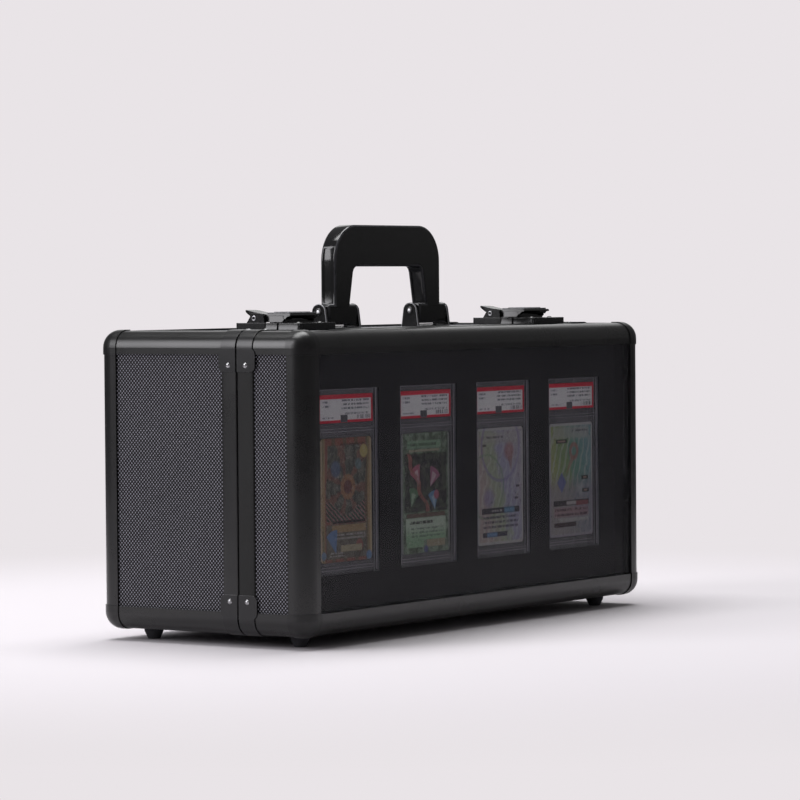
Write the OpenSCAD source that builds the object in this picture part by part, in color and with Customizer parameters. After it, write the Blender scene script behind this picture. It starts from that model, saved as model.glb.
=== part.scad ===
// Carrying case with a tinted display window for four boxed trading cards.
// Millimetres, +Z up, +X to the right, front at -Y, feet resting on Z = 0.

/* [Case] */
// Outer width of the case, left to right
case_w = 454; // [380:1:520]
// Outer depth of the closed case, front to back
case_d = 184; // [160:1:220]
// Outer height of the case without feet and handle
case_h = 214; // [190:1:250]
// Depth of the lid shell that carries the window
lid_d = 59.5; // [48:0.5:70]
// Gap between the two shells at the parting line
part_gap = 0.4; // [0.3:0.1:1]
// Outer radius of the rounded edges
edge_r = 12; // [8:0.5:14]

/* [Metal edges] */
// Width of each flange of the edge extrusions
flange_w = 16.5; // [15:0.5:20]
// Wall thickness of the edge extrusions
skin_t = 1.4; // [1:0.1:2]
// Length of a ball corner along each edge
ball_len = 17; // [15:0.5:22]
// How far the ball corners stand out of the extrusions
ball_proud = 0.7; // [0.4:0.1:1.5]
// Width of the rim strip round the base shell
base_rim_w = 13.5; // [12:0.1:18]
// Width of the rim strip round the lid shell
lid_rim_w = 14.1; // [11:0.1:16]
// Thickness of the rims where they meet
rim_web = 1.6; // [1.2:0.1:2.5]
// How far the base rim reaches inwards
base_rim_in = 10.2; // [9.6:0.1:11]
// Height of the tongue that stands into the lid
tongue_h = 3.2; // [1:0.1:5]
// Length of the inner flange of both rims
rim_inner_len = 14; // [10:0.5:16]

/* [Rim brackets] */
// Thickness of the corner brackets on the rims
bracket_t = 0.8; // [0.6:0.1:1.5]
// Reach of a corner bracket from the corner along each side
bracket_reach = 28.7; // [24:0.1:34]
// Width of a base bracket's leaves from the parting line
base_leaf = 15.3; // [14:0.1:19]
// Width of a lid bracket's leaves from the parting line
lid_leaf = 16.2; // [14.5:0.1:19]
// Corner radius of the bracket leaves
leaf_r = 4; // [1:0.5:6]
// Distance of the rivets from the corner
rivet_from_corner = 24; // [20:0.5:27]
// Distance of the base rivets from the parting line
base_rivet_y = 6.9; // [5:0.1:9]
// Distance of the lid rivets from the parting line
lid_rivet_y = 7.8; // [5:0.1:9]
// Radius of a rivet head
rivet_head_r = 2; // [1.5:0.1:2.6]
// Height of a rivet head
rivet_head_h = 0.9; // [0.6:0.1:1.4]
// Radius of a rivet shank and its hole
rivet_r = 1.2; // [0.8:0.1:1.5]

/* [Panels] */
// Thickness of the wall panels
panel_t = 4; // [3:0.5:5]
// Thickness of the window pane
pane_t = 3.9; // [2:0.1:5]

/* [Feet] */
// Height of the rubber feet below the case
foot_h = 8.5; // [6.2:0.1:14]
// Radius of a foot where it meets the case
foot_top_r = 7; // [5:0.5:10]
// Radius of a foot on the floor
foot_low_r = 4.7; // [3.5:0.1:8]
// Distance of the feet from the side faces
foot_side = 28.5; // [24.5:0.5:60]
// Distance of the feet from the front and back faces
foot_y = 27; // [24:0.5:28]

/* [Hinges] */
// Distance of the hinges from the middle
hinge_x = 154; // [60:1:180]
// Length of a hinge along the parting line
hinge_len = 30; // [24:1:60]
// Radius of the hinge knuckles
knuckle_r = 2.9; // [2.4:0.1:4]
// Radius of the hinge pins
hinge_pin_r = 1.2; // [0.8:0.05:1.6]
// Thickness of the hinge leaves
leaf_t = 1.7; // [1.2:0.1:2.5]
// Width of the base leaf away from the parting line
base_leaf_w = 14.5; // [11:0.5:15.5]
// Width of the lid leaf away from the parting line
lid_leaf_w = 15.5; // [13:0.5:18]
// Thickness of the raised pad on the lid leaf
lid_pad_t = 4.8; // [3:0.1:6]
// Radial clearance of every turning pin
pin_gap = 0.05; // [0.02:0.01:0.1]

/* [Latches] */
// Distance of the latch centres from the middle
latch_x = 155; // [110:1:180]
// Width of the latch plates
latch_w = 46; // [40:1:56]
// Thickness of the latch plates
latch_plate_t = 5; // [3.5:0.1:5.4]
// Length of the rear latch plate from the parting line
latch_base_len = 37.4; // [34:0.1:44]
// Length of the keeper plate from the parting line
keeper_len = 20; // [19:0.5:24]
// Distance of the latch pivot behind the parting line
latch_pivot_y = 21.3; // [20.8:0.1:25]
// Height of the latch pivot above the case
latch_pivot_h = 8.3; // [8:0.1:10]
// Radius of the latch pins
latch_pin_r = 1.5; // [1:0.1:2]
// Thickness of the ears beside the latch arm
latch_ear_t = 2.4; // [1.5:0.1:3]
// Side clearance between the arm and the ears
latch_side_gap = 0.4; // [0.2:0.1:0.8]
// Height of the arm's top plate above the case
arm_top_h = 11.4; // [10.5:0.1:13]
// Thickness of the cover plate on the arm
arm_cover_t = 1; // [0.6:0.1:1.5]
// Free height left between hook and keeper
hook_gap = 0.4; // [0.3:0.1:1]
// Length of the latch arm in front of its pivot
arm_reach = 29.2; // [28.6:0.1:31]
// Length of the thumb tail behind the pivot
arm_tail = 22; // [18:0.5:22.5]
// Width of the thumb tail
tail_w = 14; // [10:0.5:24]
// Depth of the arm's heel below its pivot
arm_heel = 3.2; // [2.8:0.1:3.4]
// Thickness of the arm's top plate
arm_t = 1.6; // [1.2:0.1:2]
// Length of the cover plate on the arm
cover_len = 21; // [16:0.5:22]

/* [Handle] */
// Outer width of the handle
handle_w = 139; // [120:1:160]
// Height of the handle pin above the case
handle_pin_h = 11.6; // [11:0.1:14]
// Height of the handle's top above its pin
handle_rise = 64.6; // [50:0.1:80]
// Thickness of the handle front to back
handle_t = 13.5; // [9:0.5:14]
// Height of the hand grip
grip_h = 31; // [20:0.5:34]
// Radius of the handle's upper outer corners
handle_r = 27; // [15:0.5:30]
// Half width of the hand opening at its top
opening_top = 45; // [38:0.5:50]
// Half width of the hand opening at its foot
opening_low = 50.5; // [44:0.5:54]
// Radius of the handle pins
handle_pin_r = 2; // [1.5:0.1:2.6]
// Width of a handle bracket
bracket_w = 44.5; // [38:0.5:50]
// Distance of the bracket centres from the middle
bracket_x = 59.8; // [50:0.1:70]
// Thickness of the bracket ears
ear_t = 2.2; // [1.5:0.1:3]
// Radius of the rounded ear tops
ear_r = 6.2; // [4.5:0.1:7]
// Length of a bracket foot front to back
ear_base = 16; // [11:0.1:18]
// Side clearance between the handle and the ears
hub_gap = 2; // [0.4:0.1:4]

/* [Boxed cards] */
// Distance between the boxed cards
slab_pitch = 101.3; // [84:0.1:104]
// Width of a card box
slab_w = 80; // [76:0.5:82]
// Height of a card box
slab_h = 136; // [130:0.5:140]
// Thickness of a card box
slab_t = 6; // [5:0.1:8]
// Depth of the card boxes behind the front of the case
slab_depth = 17.05; // [15:0.05:20]
// Height of the card boxes' centre above the case bottom
slab_z = 106.2; // [95:0.1:112]
// Corner radius of a card box
slab_r = 3; // [1.5:0.1:5]
// Width of a card
card_w = 63; // [60:0.5:66]
// Height of a card
card_h = 88; // [84:0.5:92]
// Thickness of a card
card_t = 0.4; // [0.3:0.05:0.8]
// Height of the card's centre above the case bottom
card_z = 93.1; // [88:0.1:96]
// Width of a paper label
label_w = 67.5; // [60:0.5:70]
// Height of a paper label
label_h = 20; // [16:0.5:22]
// Height of the label's centre above the case bottom
label_z = 158; // [154:0.1:160]

/* [Foam] */
// Width of the mat's window over each card box
mat_hole_w = 74; // [70:0.5:78]
// Height of the mat's window over each card box
mat_hole_h = 132; // [126:0.5:134]
// Thickness of the mat's lip in front of the card boxes
mat_lip = 1.2; // [0.8:0.1:2]
// Thickness of the display mat
mat_t = 8.5; // [7.5:0.1:12]
// Thickness of the foam floor in the base
floor_t = 8; // [5:0.5:15]
// Thickness of the foam walls along the rows
row_wall_t = 10.6; // [8:0.1:14]
// Thickness of the foam walls at the ends of the rows
end_wall_t = 14; // [8:0.5:30]
// Thickness of the thin dividers across the rows
divider_t = 5; // [3:0.5:8]
// Number of dividers in each row
divider_n = 3; // [1:1:5]

/* [Hidden] */
$fn = 64;
w2 = case_w / 2;
d2 = case_d / 2;
foot_x = w2 - foot_side;
z0 = foot_h;
z1 = foot_h + case_h;
zm = (z0 + z1) / 2;
part_y = -d2 + lid_d;
base_y = part_y + part_gap / 2;
lid_y = part_y - part_gap / 2;
slip = 0.05;
panel_o = skin_t + slip;
inner_o = skin_t + panel_t + 2 * slip;
clear_o = inner_o + skin_t + slip;
lid_rim_in = base_rim_in - skin_t - 0.5;
ball_in = skin_t - slip;
hinge_z = z0 - knuckle_r - 0.1;
leaf_start = knuckle_r + 0.3;
pivot_y = part_y + latch_pivot_y;
pivot_z = z1 + latch_pivot_h;
arm_w = latch_w - 2 * (latch_ear_t + latch_side_gap) - 2;
plate_z = z1 + latch_plate_t;
rib_top = plate_z + 2.5;
cheek_low = plate_z + 0.4 - pivot_z;
pin_z = z1 + handle_pin_h;
top_panel_z = z1 - panel_o;
hub_w = bracket_w - 2 * ear_t - 2 * hub_gap;
hub_r = handle_pin_h - 2;
foam_front = base_y + rim_inner_len + 0.3;
foam_back = d2 - clear_o;
row_h = (case_h - 2 * clear_o - 3 * row_wall_t) / 2;
row_len = case_w - 2 * clear_o - 2 * end_wall_t;
slab_front = -d2 + slab_depth;
split_y = slab_front + 2.4;
mat_front = slab_front - slip - mat_lip;
slabs = [-1.5, -0.5, 0.5, 1.5];

// Repeats something on the left and the right
module both_sides() {
  children();
  mirror([1, 0, 0]) children();
}

// Repeats something at the bottom and the top
module low_and_high() {
  children();
  translate([0, 0, 2 * zm]) mirror([0, 0, 1]) children();
}

// A box from its low corner to its high corner
module span(low, high) {
  translate(low) cube(high - low);
}

// Quarter of a rounded frame, its outer corner offset by o
module quarter(o, r, reach) {
  intersection() {
    translate([o, o]) square(reach - o);
    union() {
      translate([o + r, o + r]) circle(r = r, $fn = 96);
      if (reach - o - r > 0.01) {
        translate([o + r, o]) square([reach - o - r, reach - o]);
        translate([o, o + r]) square([reach - o, reach - o - r]);
      }
    }
  }
}

// Section of every edge extrusion, with a groove for a panel on each side
module edge_section() {
  difference() {
    quarter(0, edge_r, flange_w);
    quarter(skin_t, edge_r - skin_t, flange_w + 1);
  }
  difference() {
    translate([inner_o, inner_o]) square(flange_w - inner_o);
    translate([inner_o + skin_t, inner_o + skin_t]) square(flange_w);
  }
  translate([edge_r - skin_t, skin_t / 2]) square([skin_t, inner_o]);
  translate([skin_t / 2, edge_r - skin_t]) square([inner_o, skin_t]);
}

module edge_along_x(len) {
  translate([-len / 2, -d2, z0]) rotate([90, 0, 90]) linear_extrude(len) edge_section();
}

module edge_along_z(len) {
  translate([-w2, -d2, zm - len / 2]) linear_extrude(len) edge_section();
}

module edge_along_y(start, len) {
  translate([-w2, start + len, z0]) rotate([90, 0, 0]) linear_extrude(len) edge_section();
}

// The four edges round the front face
module face_edges() {
  low_and_high() edge_along_x(case_w - 2 * ball_len - 2 * slip);
  both_sides() edge_along_z(case_h - 2 * ball_len - 2 * slip);
}

// Solid rounded corner, its three faces offset by o
module rounded_corner(o, r, reach) {
  c = o + r;
  intersection() {
    translate([o, o, o]) cube(reach - o);
    union() {
      translate([c, c, c]) sphere(r = r, $fn = 96);
      translate([c, c, c]) cylinder(r = r, h = reach);
      translate([c, c, c]) rotate([0, 90, 0]) cylinder(r = r, h = reach);
      translate([c, c, c]) rotate([-90, 0, 0]) cylinder(r = r, h = reach);
      translate([o, c, c]) cube(reach);
      translate([c, o, c]) cube(reach);
      translate([c, c, o]) cube(reach);
    }
  }
}

// Four ball corners of the front face
module ball_corners() {
  both_sides() low_and_high() translate([-w2, -d2, z0]) difference() {
    rounded_corner(-ball_proud, edge_r + ball_proud, ball_len);
    rounded_corner(ball_in, edge_r - ball_in, ball_len + 2);
  }
}

// Section of a rim: x inwards from the outside, y away from the parting line
module rim_section(width, inwards, tongue) {
  square([skin_t, width]);
  square([inwards, rim_web]);
  translate([inwards - skin_t, -tongue]) square([skin_t, rim_inner_len + tongue]);
}

// Four bars of a rim that starts at y = 0 and runs towards +Y
module rim_bars(width, inwards, tongue, rivet_y) {
  both_sides() difference() {
    translate([-w2, 0, z0 + edge_r]) linear_extrude(case_h - 2 * edge_r)
      rim_section(width, inwards, tongue);
    low_and_high() translate([-w2 - 1, rivet_y, z0 + rivet_from_corner])
      rotate([0, 90, 0]) cylinder(r = rivet_r, h = skin_t + 2);
  }
  low_and_high() difference() {
    translate([-w2 + edge_r, 0, z0]) rotate([90, 0, 90]) linear_extrude(case_w - 2 * edge_r)
      mirror([1, -1]) rim_section(width, inwards, tongue);
    both_sides() translate([-w2 + rivet_from_corner, rivet_y, z0 - 1])
      cylinder(r = rivet_r, h = skin_t + 2);
  }
}

// Cutter that rounds the far corner of a bracket leaf on the low face
module leaf_rounding(leaf) {
  translate([bracket_reach - leaf_r, leaf - leaf_r, -bracket_t - 1])
    linear_extrude(bracket_t + 1.5) difference() {
      square(leaf_r + 1);
      circle(r = leaf_r, $fn = 48);
    }
}

// Four corner brackets of a rim that starts at y = 0 and runs towards +Y
module rim_brackets(width, leaf, inwards, tongue, rivet_y) {
  both_sides() low_and_high() translate([-w2, 0, z0]) difference() {
    union() {
      translate([0, leaf, 0]) rotate([90, 0, 0]) linear_extrude(leaf) difference() {
        quarter(-bracket_t, edge_r + bracket_t, bracket_reach);
        quarter(0, edge_r, bracket_reach + 1);
      }
      translate([0, width, 0]) rotate([90, 0, 0]) linear_extrude(width) difference() {
        quarter(-bracket_t / 2, edge_r + bracket_t / 2, edge_r);
        quarter(skin_t, edge_r - skin_t, edge_r + 1);
      }
      translate([0, rim_web, 0]) rotate([90, 0, 0]) linear_extrude(rim_web) difference() {
        quarter(skin_t / 2, edge_r - skin_t / 2, edge_r);
        translate([inwards, inwards]) square(edge_r);
      }
      translate([0, rim_inner_len, 0]) rotate([90, 0, 0])
        linear_extrude(rim_inner_len + tongue) difference() {
          translate([inwards - skin_t, inwards - skin_t]) square(edge_r - inwards + skin_t);
          translate([inwards, inwards]) square(edge_r);
        }
    }
    leaf_rounding(leaf);
    mirror([1, 0, -1]) leaf_rounding(leaf);
    translate([rivet_from_corner, rivet_y, -bracket_t - 1]) cylinder(r = rivet_r, h = 3);
    translate([-bracket_t - 1, rivet_y, rivet_from_corner])
      rotate([0, 90, 0]) cylinder(r = rivet_r, h = 3);
  }
}

// A rivet with a domed head, its shank pointing to -Z from the seat at z = 0
module rivet(shank) {
  dome_r = (rivet_head_r * rivet_head_r + rivet_head_h * rivet_head_h) / (2 * rivet_head_h);
  intersection() {
    translate([0, 0, rivet_head_h - dome_r]) sphere(r = dome_r);
    cylinder(r = rivet_head_r + 1, h = rivet_head_h + 1);
  }
  translate([0, 0, -shank]) cylinder(r = rivet_r, h = shank + rivet_head_h / 2);
}

module rim_rivets(rivet_y) {
  shank = bracket_t + skin_t;
  both_sides() low_and_high() {
    translate([-w2 + rivet_from_corner, rivet_y, z0 - bracket_t])
      rotate([180, 0, 0]) rivet(shank);
    translate([-w2 - bracket_t, rivet_y, z0 + rivet_from_corner])
      rotate([0, -90, 0]) rivet(shank);
  }
}

// Panels of one shell between two depths
module side_panels(from_y, to_y) {
  both_sides() span([-w2 + panel_o, from_y, z0 + edge_r + 0.1],
    [-w2 + panel_o + panel_t, to_y, z1 - edge_r - 0.1]);
}

module low_panel(from_y, to_y) {
  span([-w2 + edge_r + 0.1, from_y, z0 + panel_o],
    [w2 - edge_r - 0.1, to_y, z0 + panel_o + panel_t]);
}

module back_panel() {
  color("#2c2c2e") span([-w2 + edge_r + 0.1, d2 - panel_o - panel_t, z0 + edge_r + 0.1],
    [w2 - edge_r - 0.1, d2 - panel_o, z1 - edge_r - 0.1]);
}

module base_side_panels() {
  color("#2c2c2e") side_panels(base_y + rim_web + slip, d2 - edge_r - 0.1);
}

module base_top_panel() {
  color("#2c2c2e") translate([0, 0, 2 * zm]) mirror([0, 0, 1])
    low_panel(base_y + rim_web + slip, d2 - edge_r - 0.1);
}

module base_bottom_panel() {
  color("#2c2c2e") low_panel(base_y + rim_web + slip, d2 - edge_r - 0.1);
}

module rear_edge_extrusions() {
  color("#1b1b1d") mirror([0, 1, 0]) face_edges();
}

module base_depth_extrusions() {
  start = base_y + base_rim_w + slip;
  color("#1b1b1d") both_sides() low_and_high()
    edge_along_y(start, d2 - ball_len - slip - start);
}

module rear_ball_corners() {
  color("#19191b") mirror([0, 1, 0]) ball_corners();
}

module base_rim_bars() {
  color("#1d1d1f") translate([0, base_y, 0])
    rim_bars(base_rim_w, base_rim_in, tongue_h, base_rivet_y);
}

module base_rim_brackets() {
  color("#222224") translate([0, base_y, 0])
    rim_brackets(base_rim_w, base_leaf, base_rim_in, tongue_h, base_rivet_y);
}

module base_rivets() {
  color("#c8c8ca") rim_rivets(base_y + base_rivet_y);
}

// Two feet at one distance from the middle
module feet(y) {
  both_sides() translate([foot_x, y, 0]) {
    cylinder(r1 = foot_low_r, r2 = foot_top_r, h = foot_h);
    translate([0, 0, foot_h - 0.5]) cylinder(r = foot_top_r, h = panel_o + 0.5 - slip);
  }
}

module rear_feet() {
  color("#151515") feet(d2 - foot_y);
}

// Knuckle segments of one leaf, picked by first and step
module knuckles(picked) {
  seg = hinge_len / 5;
  for (i = picked) {
    translate([i * seg - hinge_len / 2 + 0.1, 0, 0]) rotate([0, 90, 0])
      cylinder(r = knuckle_r, h = seg - 0.2);
    span([i * seg - hinge_len / 2 + 0.1, 0, knuckle_r - leaf_t],
      [(i + 1) * seg - hinge_len / 2 - 0.1, leaf_start + 0.5, knuckle_r]);
  }
}

module hinge_base_leaves() {
  color("#1a1a1c") both_sides() translate([hinge_x, part_y, hinge_z]) difference() {
    union() {
      knuckles([0, 2, 4]);
      span([-hinge_len / 2, leaf_start, knuckle_r - leaf_t],
        [hinge_len / 2, base_leaf_w, knuckle_r + 0.1 - slip]);
    }
    translate([-hinge_len, 0, 0]) rotate([0, 90, 0]) cylinder(r = hinge_pin_r, h = 2 * hinge_len);
  }
}

module hinge_lid_leaves() {
  color("#1a1a1c") both_sides() translate([hinge_x, part_y, hinge_z]) mirror([0, 1, 0])
    difference() {
      union() {
        knuckles([1, 3]);
        span([-hinge_len / 2, leaf_start, knuckle_r - leaf_t],
          [hinge_len / 2, lid_leaf_w, knuckle_r + 0.1 - slip]);
        span([-hinge_len / 2 + 1.5, leaf_start + 1, knuckle_r - lid_pad_t],
          [hinge_len / 2 - 1.5, lid_leaf_w - 1.5, knuckle_r]);
      }
      translate([-hinge_len, 0, 0]) rotate([0, 90, 0])
        cylinder(r = hinge_pin_r + pin_gap, h = 2 * hinge_len);
    }
}

module hinge_pins() {
  color("#8c8c90") both_sides() translate([hinge_x - hinge_len / 2 - 0.6, part_y, hinge_z]) {
    rotate([0, 90, 0]) cylinder(r = hinge_pin_r, h = hinge_len + 1.2);
    translate([-0.4, 0, 0]) rotate([0, 90, 0]) cylinder(r = hinge_pin_r + 0.5, h = 0.8);
    translate([hinge_len + 0.8, 0, 0]) rotate([0, 90, 0])
      cylinder(r = hinge_pin_r + 0.5, h = 0.8);
  }
}

// Flat plate with rounded far corners, from y = 0 to y = len
module tab_plate(w, len, t, r) {
  linear_extrude(t) {
    translate([-w / 2, 0]) square([w, len - r]);
    translate([-w / 2 + r, 0]) square([w - 2 * r, len]);
    for (s = [-1, 1]) translate([s * (w / 2 - r), len - r]) circle(r = r, $fn = 48);
  }
}

// Side outline of a latch ear round the pivot: x to the rear, y up
module latch_ear() {
  low = plate_z - 1 - pivot_z;
  circle(r = 3.6, $fn = 64);
  translate([-5.4, 0.4]) circle(r = 3.2, $fn = 64);
  polygon([[-9.4, low], [7.2, low], [3.3, 1.4], [0, 3.6], [-5.4, 3.6], [-8.55, 0.9]]);
}

module latch_base() {
  ear_x = arm_w / 2 + latch_side_gap;
  translate([0, base_y + 0.3, z1]) difference() {
    union() {
      tab_plate(latch_w, latch_base_len, latch_plate_t, 4);
      span([-latch_w / 2, base_rim_w, -panel_o + slip],
        [latch_w / 2, latch_base_len - 4, 1]);
    }
    span([-ear_x, latch_pivot_y - 10, 1.2], [ear_x, latch_base_len + 1, latch_plate_t + 1]);
    for (s = [-1, 1]) translate([s * 12, 8, 1]) cylinder(r = rivet_r, h = 5);
  }
  for (s = [-1, 1]) difference() {
    union() {
      translate([s * (ear_x + latch_ear_t / 2) - latch_ear_t / 2, pivot_y, pivot_z])
        rotate([90, 0, 90]) linear_extrude(latch_ear_t) latch_ear();
    }
    translate([-latch_w, pivot_y, pivot_z]) rotate([0, 90, 0])
      cylinder(r = latch_pin_r, h = 2 * latch_w);
  }
}

module latch_base_plates() {
  color("#161617") both_sides() translate([latch_x, 0, 0]) latch_base();
}

module latch_pins() {
  reach = arm_w / 2 + latch_side_gap + latch_ear_t + 0.5;
  color("#8c8c90") both_sides() translate([latch_x, pivot_y, pivot_z]) difference() {
    union() {
      translate([-reach, 0, 0]) rotate([0, 90, 0]) cylinder(r = latch_pin_r, h = 2 * reach);
      for (s = [-1, 1]) translate([s * (reach - 0.25) - 0.25, 0, 0]) rotate([0, 90, 0])
        cylinder(r = latch_pin_r + 0.8, h = 0.5);
    }
    for (s = [-1, 1]) translate([s * reach - 1.5, 0, 0]) rotate([0, 90, 0])
      cylinder(r = latch_pin_r - 0.7, h = 3);
  }
}

module latch_plate_rivets() {
  color("#19191b") both_sides() for (s = [-1, 1])
    translate([latch_x + s * 12, base_y + 8.3, plate_z]) rivet(latch_plate_t - 1);
}

// Side outline of the latch arm: x away from the pivot to the rear, y up
module arm_outline() {
  top = arm_top_h - latch_pivot_h;
  low = -arm_heel;
  hook_y = rib_top + hook_gap - pivot_z;
  difference() {
    union() {
      circle(r = 3.1, $fn = 64);
      translate([-arm_reach, 0]) polygon([[arm_reach, top], [0.7, top], [0, top - 0.6],
        [0, top - 1.5], [2.7, top - 2], [3.8, top - 3.4], [4, hook_y], [5.8, hook_y],
        [6.8, top - arm_t], [arm_reach, top - arm_t]]);
      polygon([[3.4, top - 0.7], [2.7, top], [-4, top], [-4, top - arm_t], [-3, low + 1.2],
        [6.4, low], [7.3, low + 0.6], [6.6, 0.2]]);
    }
    circle(r = latch_pin_r + pin_gap, $fn = 64);
  }
}

// Side outline of the thumb tail: x away from the pivot to the rear, y up
module tail_outline() {
  top = arm_top_h - latch_pivot_h;
  polygon([[2.6, top - 0.1], [7, top + 0.7], [13, top + 2], [arm_tail - 3, top + 2.8],
    [arm_tail, top + 2.8], [arm_tail, top + 2.3], [arm_tail - 4, top + 0.4],
    [arm_tail - 8.5, top - 2.3], [8.6, -1], [6, -1], [4, 1]]);
}

module latch_arm() {
  translate([0, pivot_y, pivot_z]) {
    rotate([90, 0, 90]) translate([0, 0, -arm_w / 2]) linear_extrude(arm_w) arm_outline();
    intersection() {
      rotate([90, 0, 90]) translate([0, 0, -tail_w / 2]) linear_extrude(tail_w) tail_outline();
      translate([0, 0, -5]) linear_extrude(20) {
        translate([-tail_w / 2, 0]) square([tail_w, arm_tail - tail_w / 2]);
        translate([0, arm_tail - tail_w / 2]) circle(r = tail_w / 2, $fn = 64);
      }
    }
    for (s = [-1, 1]) span([s * (arm_w / 2 - arm_t / 2) - arm_t / 2, -24, cheek_low],
      [s * (arm_w / 2 - arm_t / 2) + arm_t / 2, -3.4, arm_top_h - latch_pivot_h - 1]);
  }
}

module latch_cover() {
  top = arm_top_h - latch_pivot_h;
  pitch = (cover_len - 5) / 4;
  translate([0, pivot_y - arm_reach + 1.2, pivot_z]) {
    span([-arm_w / 2 + 2.5, 0, top], [arm_w / 2 - 2.5, cover_len, top + arm_cover_t]);
    for (i = [0:3]) span([-arm_w / 2 + 6, 3.5 + i * pitch, top + arm_cover_t / 2],
      [arm_w / 2 - 6, 5 + i * pitch, top + arm_cover_t + 0.5]);
  }
}

module latch_arm_left() {
  color("#141415") translate([-latch_x, 0, 0]) latch_arm();
}

module latch_cover_left() {
  color("#1c1c1e") translate([-latch_x, 0, 0]) latch_cover();
}

module latch_arm_right() {
  color("#141415") translate([latch_x, 0, 0]) latch_arm();
}

module latch_cover_right() {
  color("#1c1c1e") translate([latch_x, 0, 0]) latch_cover();
}

// Plate on the lid with a tongue that reaches under the latch hook
module keeper_plates() {
  color("#161617") both_sides() translate([latch_x, 0, 0]) {
    difference() {
      union() {
        translate([0, lid_y - 0.3, z1]) mirror([0, 1, 0])
          tab_plate(latch_w, keeper_len, latch_plate_t, 4);
        span([-latch_w / 2, lid_y - keeper_len + 4, top_panel_z + slip],
          [latch_w / 2, lid_y - lid_rim_w - 0.1, z1 + 1]);
      }
      for (s = [-1, 1]) translate([s * 13, lid_y - 11, z1 + 1]) cylinder(r = rivet_r, h = 5);
    }
    span([-14, lid_y - 4, plate_z - 1], [14, lid_y - 2, plate_z + 1.3]);
    span([-14, lid_y - 4, plate_z + 0.3], [14, pivot_y - 20, plate_z + 1.3]);
    span([-14, pivot_y - 21.6, plate_z + 0.3], [14, pivot_y - 20, rib_top]);
  }
}

module keeper_rivets() {
  color("#19191b") both_sides() for (s = [-1, 1])
    translate([latch_x + s * 13, lid_y - 11, plate_z]) rivet(latch_plate_t - 1);
}

// One ear of a handle bracket: x front to back, y up from the case
module ear_outline() {
  difference() {
    union() {
      translate([0, handle_pin_h]) circle(r = ear_r, $fn = 64);
      polygon([[-ear_base / 2, -panel_o + slip], [ear_base / 2, -panel_o + slip],
        [ear_r - 0.15, handle_pin_h + 1], [-ear_r + 0.15, handle_pin_h + 1]]);
    }
    translate([0, handle_pin_h]) circle(r = handle_pin_r, $fn = 48);
  }
}

module handle_brackets() {
  color("#1a1a1c") both_sides() translate([bracket_x, 0, z1]) {
    for (s = [-1, 1]) translate([s * (bracket_w - ear_t) / 2 - ear_t / 2, 0, 0])
      rotate([90, 0, 90]) linear_extrude(ear_t) ear_outline();
    difference() {
      span([-bracket_w / 2 + 0.5, -ear_base / 2, -panel_o + slip],
        [bracket_w / 2 - 0.5, ear_base / 2, 0.4]);
      for (s = [-1, 1]) translate([s * 12, 0, -1]) cylinder(r = rivet_r, h = 5);
    }
  }
}

module handle_pins() {
  reach = bracket_w / 2 + 0.2;
  color("#8c8c90") both_sides() translate([bracket_x, 0, pin_z]) {
    translate([-reach, 0, 0]) rotate([0, 90, 0]) cylinder(r = handle_pin_r, h = 2 * reach);
    for (s = [-1, 1]) translate([s * bracket_w / 2, 0, 0]) rotate([0, s * 90, 0])
      intersection() {
        translate([0, 0, -2.6]) sphere(r = 4, $fn = 48);
        cylinder(r = 4, h = 4);
      }
  }
}

module handle_bracket_rivets() {
  color("#c8c8ca") both_sides() for (s = [-1, 1])
    translate([bracket_x + s * 12, 0, z1 + 0.4]) rivet(1.4);
}

// Front outline of the handle: y up from the pins
module handle_outline() {
  half = handle_w / 2;
  low = handle_rise - grip_h;
  difference() {
    union() {
      translate([-half, 4]) square([handle_w, handle_rise - handle_r - 4]);
      translate([-half + handle_r, low]) square([handle_w - 2 * handle_r, grip_h]);
      for (s = [-1, 1]) translate([s * (half - handle_r), handle_rise - handle_r])
        circle(r = handle_r, $fn = 96);
      for (s = [-1, 1]) translate([s * bracket_x - hub_w / 2, -hub_r - 1])
        square([hub_w, hub_r + 6.4]);
    }
    polygon([[-opening_low - 0.3, 5.4], [opening_low + 0.3, 5.4], [opening_top, low - 3],
      [opening_top - 3, low], [-opening_top + 3, low], [-opening_top, low - 3]]);
    span_2d([-bracket_x + hub_w / 2, -hub_r - 2], [bracket_x - hub_w / 2, 6]);
  }
}

module span_2d(low, high) {
  translate(low) square(high - low);
}

// Side outline of the handle: x front to back, y up from the pins
module handle_side() {
  r = 4.5;
  difference() {
    union() {
      translate([-handle_t / 2, 0]) square([handle_t, handle_rise - r]);
      translate([-handle_t / 2 + r, 0]) square([handle_t - 2 * r, handle_rise]);
      for (s = [-1, 1]) translate([s * (handle_t / 2 - r), handle_rise - r])
        circle(r = r, $fn = 48);
      intersection() {
        circle(r = hub_r, $fn = 96);
        translate([-handle_t / 2, -hub_r - 1]) square([handle_t, hub_r + 2]);
      }
    }
    circle(r = handle_pin_r + pin_gap, $fn = 48);
  }
}

// Handle with rounded top edges, square hubs and a bored pivot in each hub
module handle_grip() {
  color("#0c0c0d") translate([0, 0, pin_z]) intersection() {
    translate([0, handle_t, 0]) rotate([90, 0, 0]) linear_extrude(2 * handle_t)
      handle_outline();
    translate([-handle_w, 0, 0]) rotate([90, 0, 90]) linear_extrude(2 * handle_w)
      handle_side();
  }
}

module foam_floor() {
  color("#2a2a2c") span([-w2 + clear_o, foam_back - floor_t, z0 + clear_o],
    [w2 - clear_o, foam_back, z1 - clear_o]);
}

module foam_row_walls() {
  low_x = -w2 + clear_o + end_wall_t + slip;
  color("#303032") for (i = [0:2])
    span([low_x, foam_front, z0 + clear_o + i * (row_wall_t + row_h)],
      [-low_x, foam_back - floor_t - slip, z0 + clear_o + i * (row_wall_t + row_h) + row_wall_t]);
}

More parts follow.
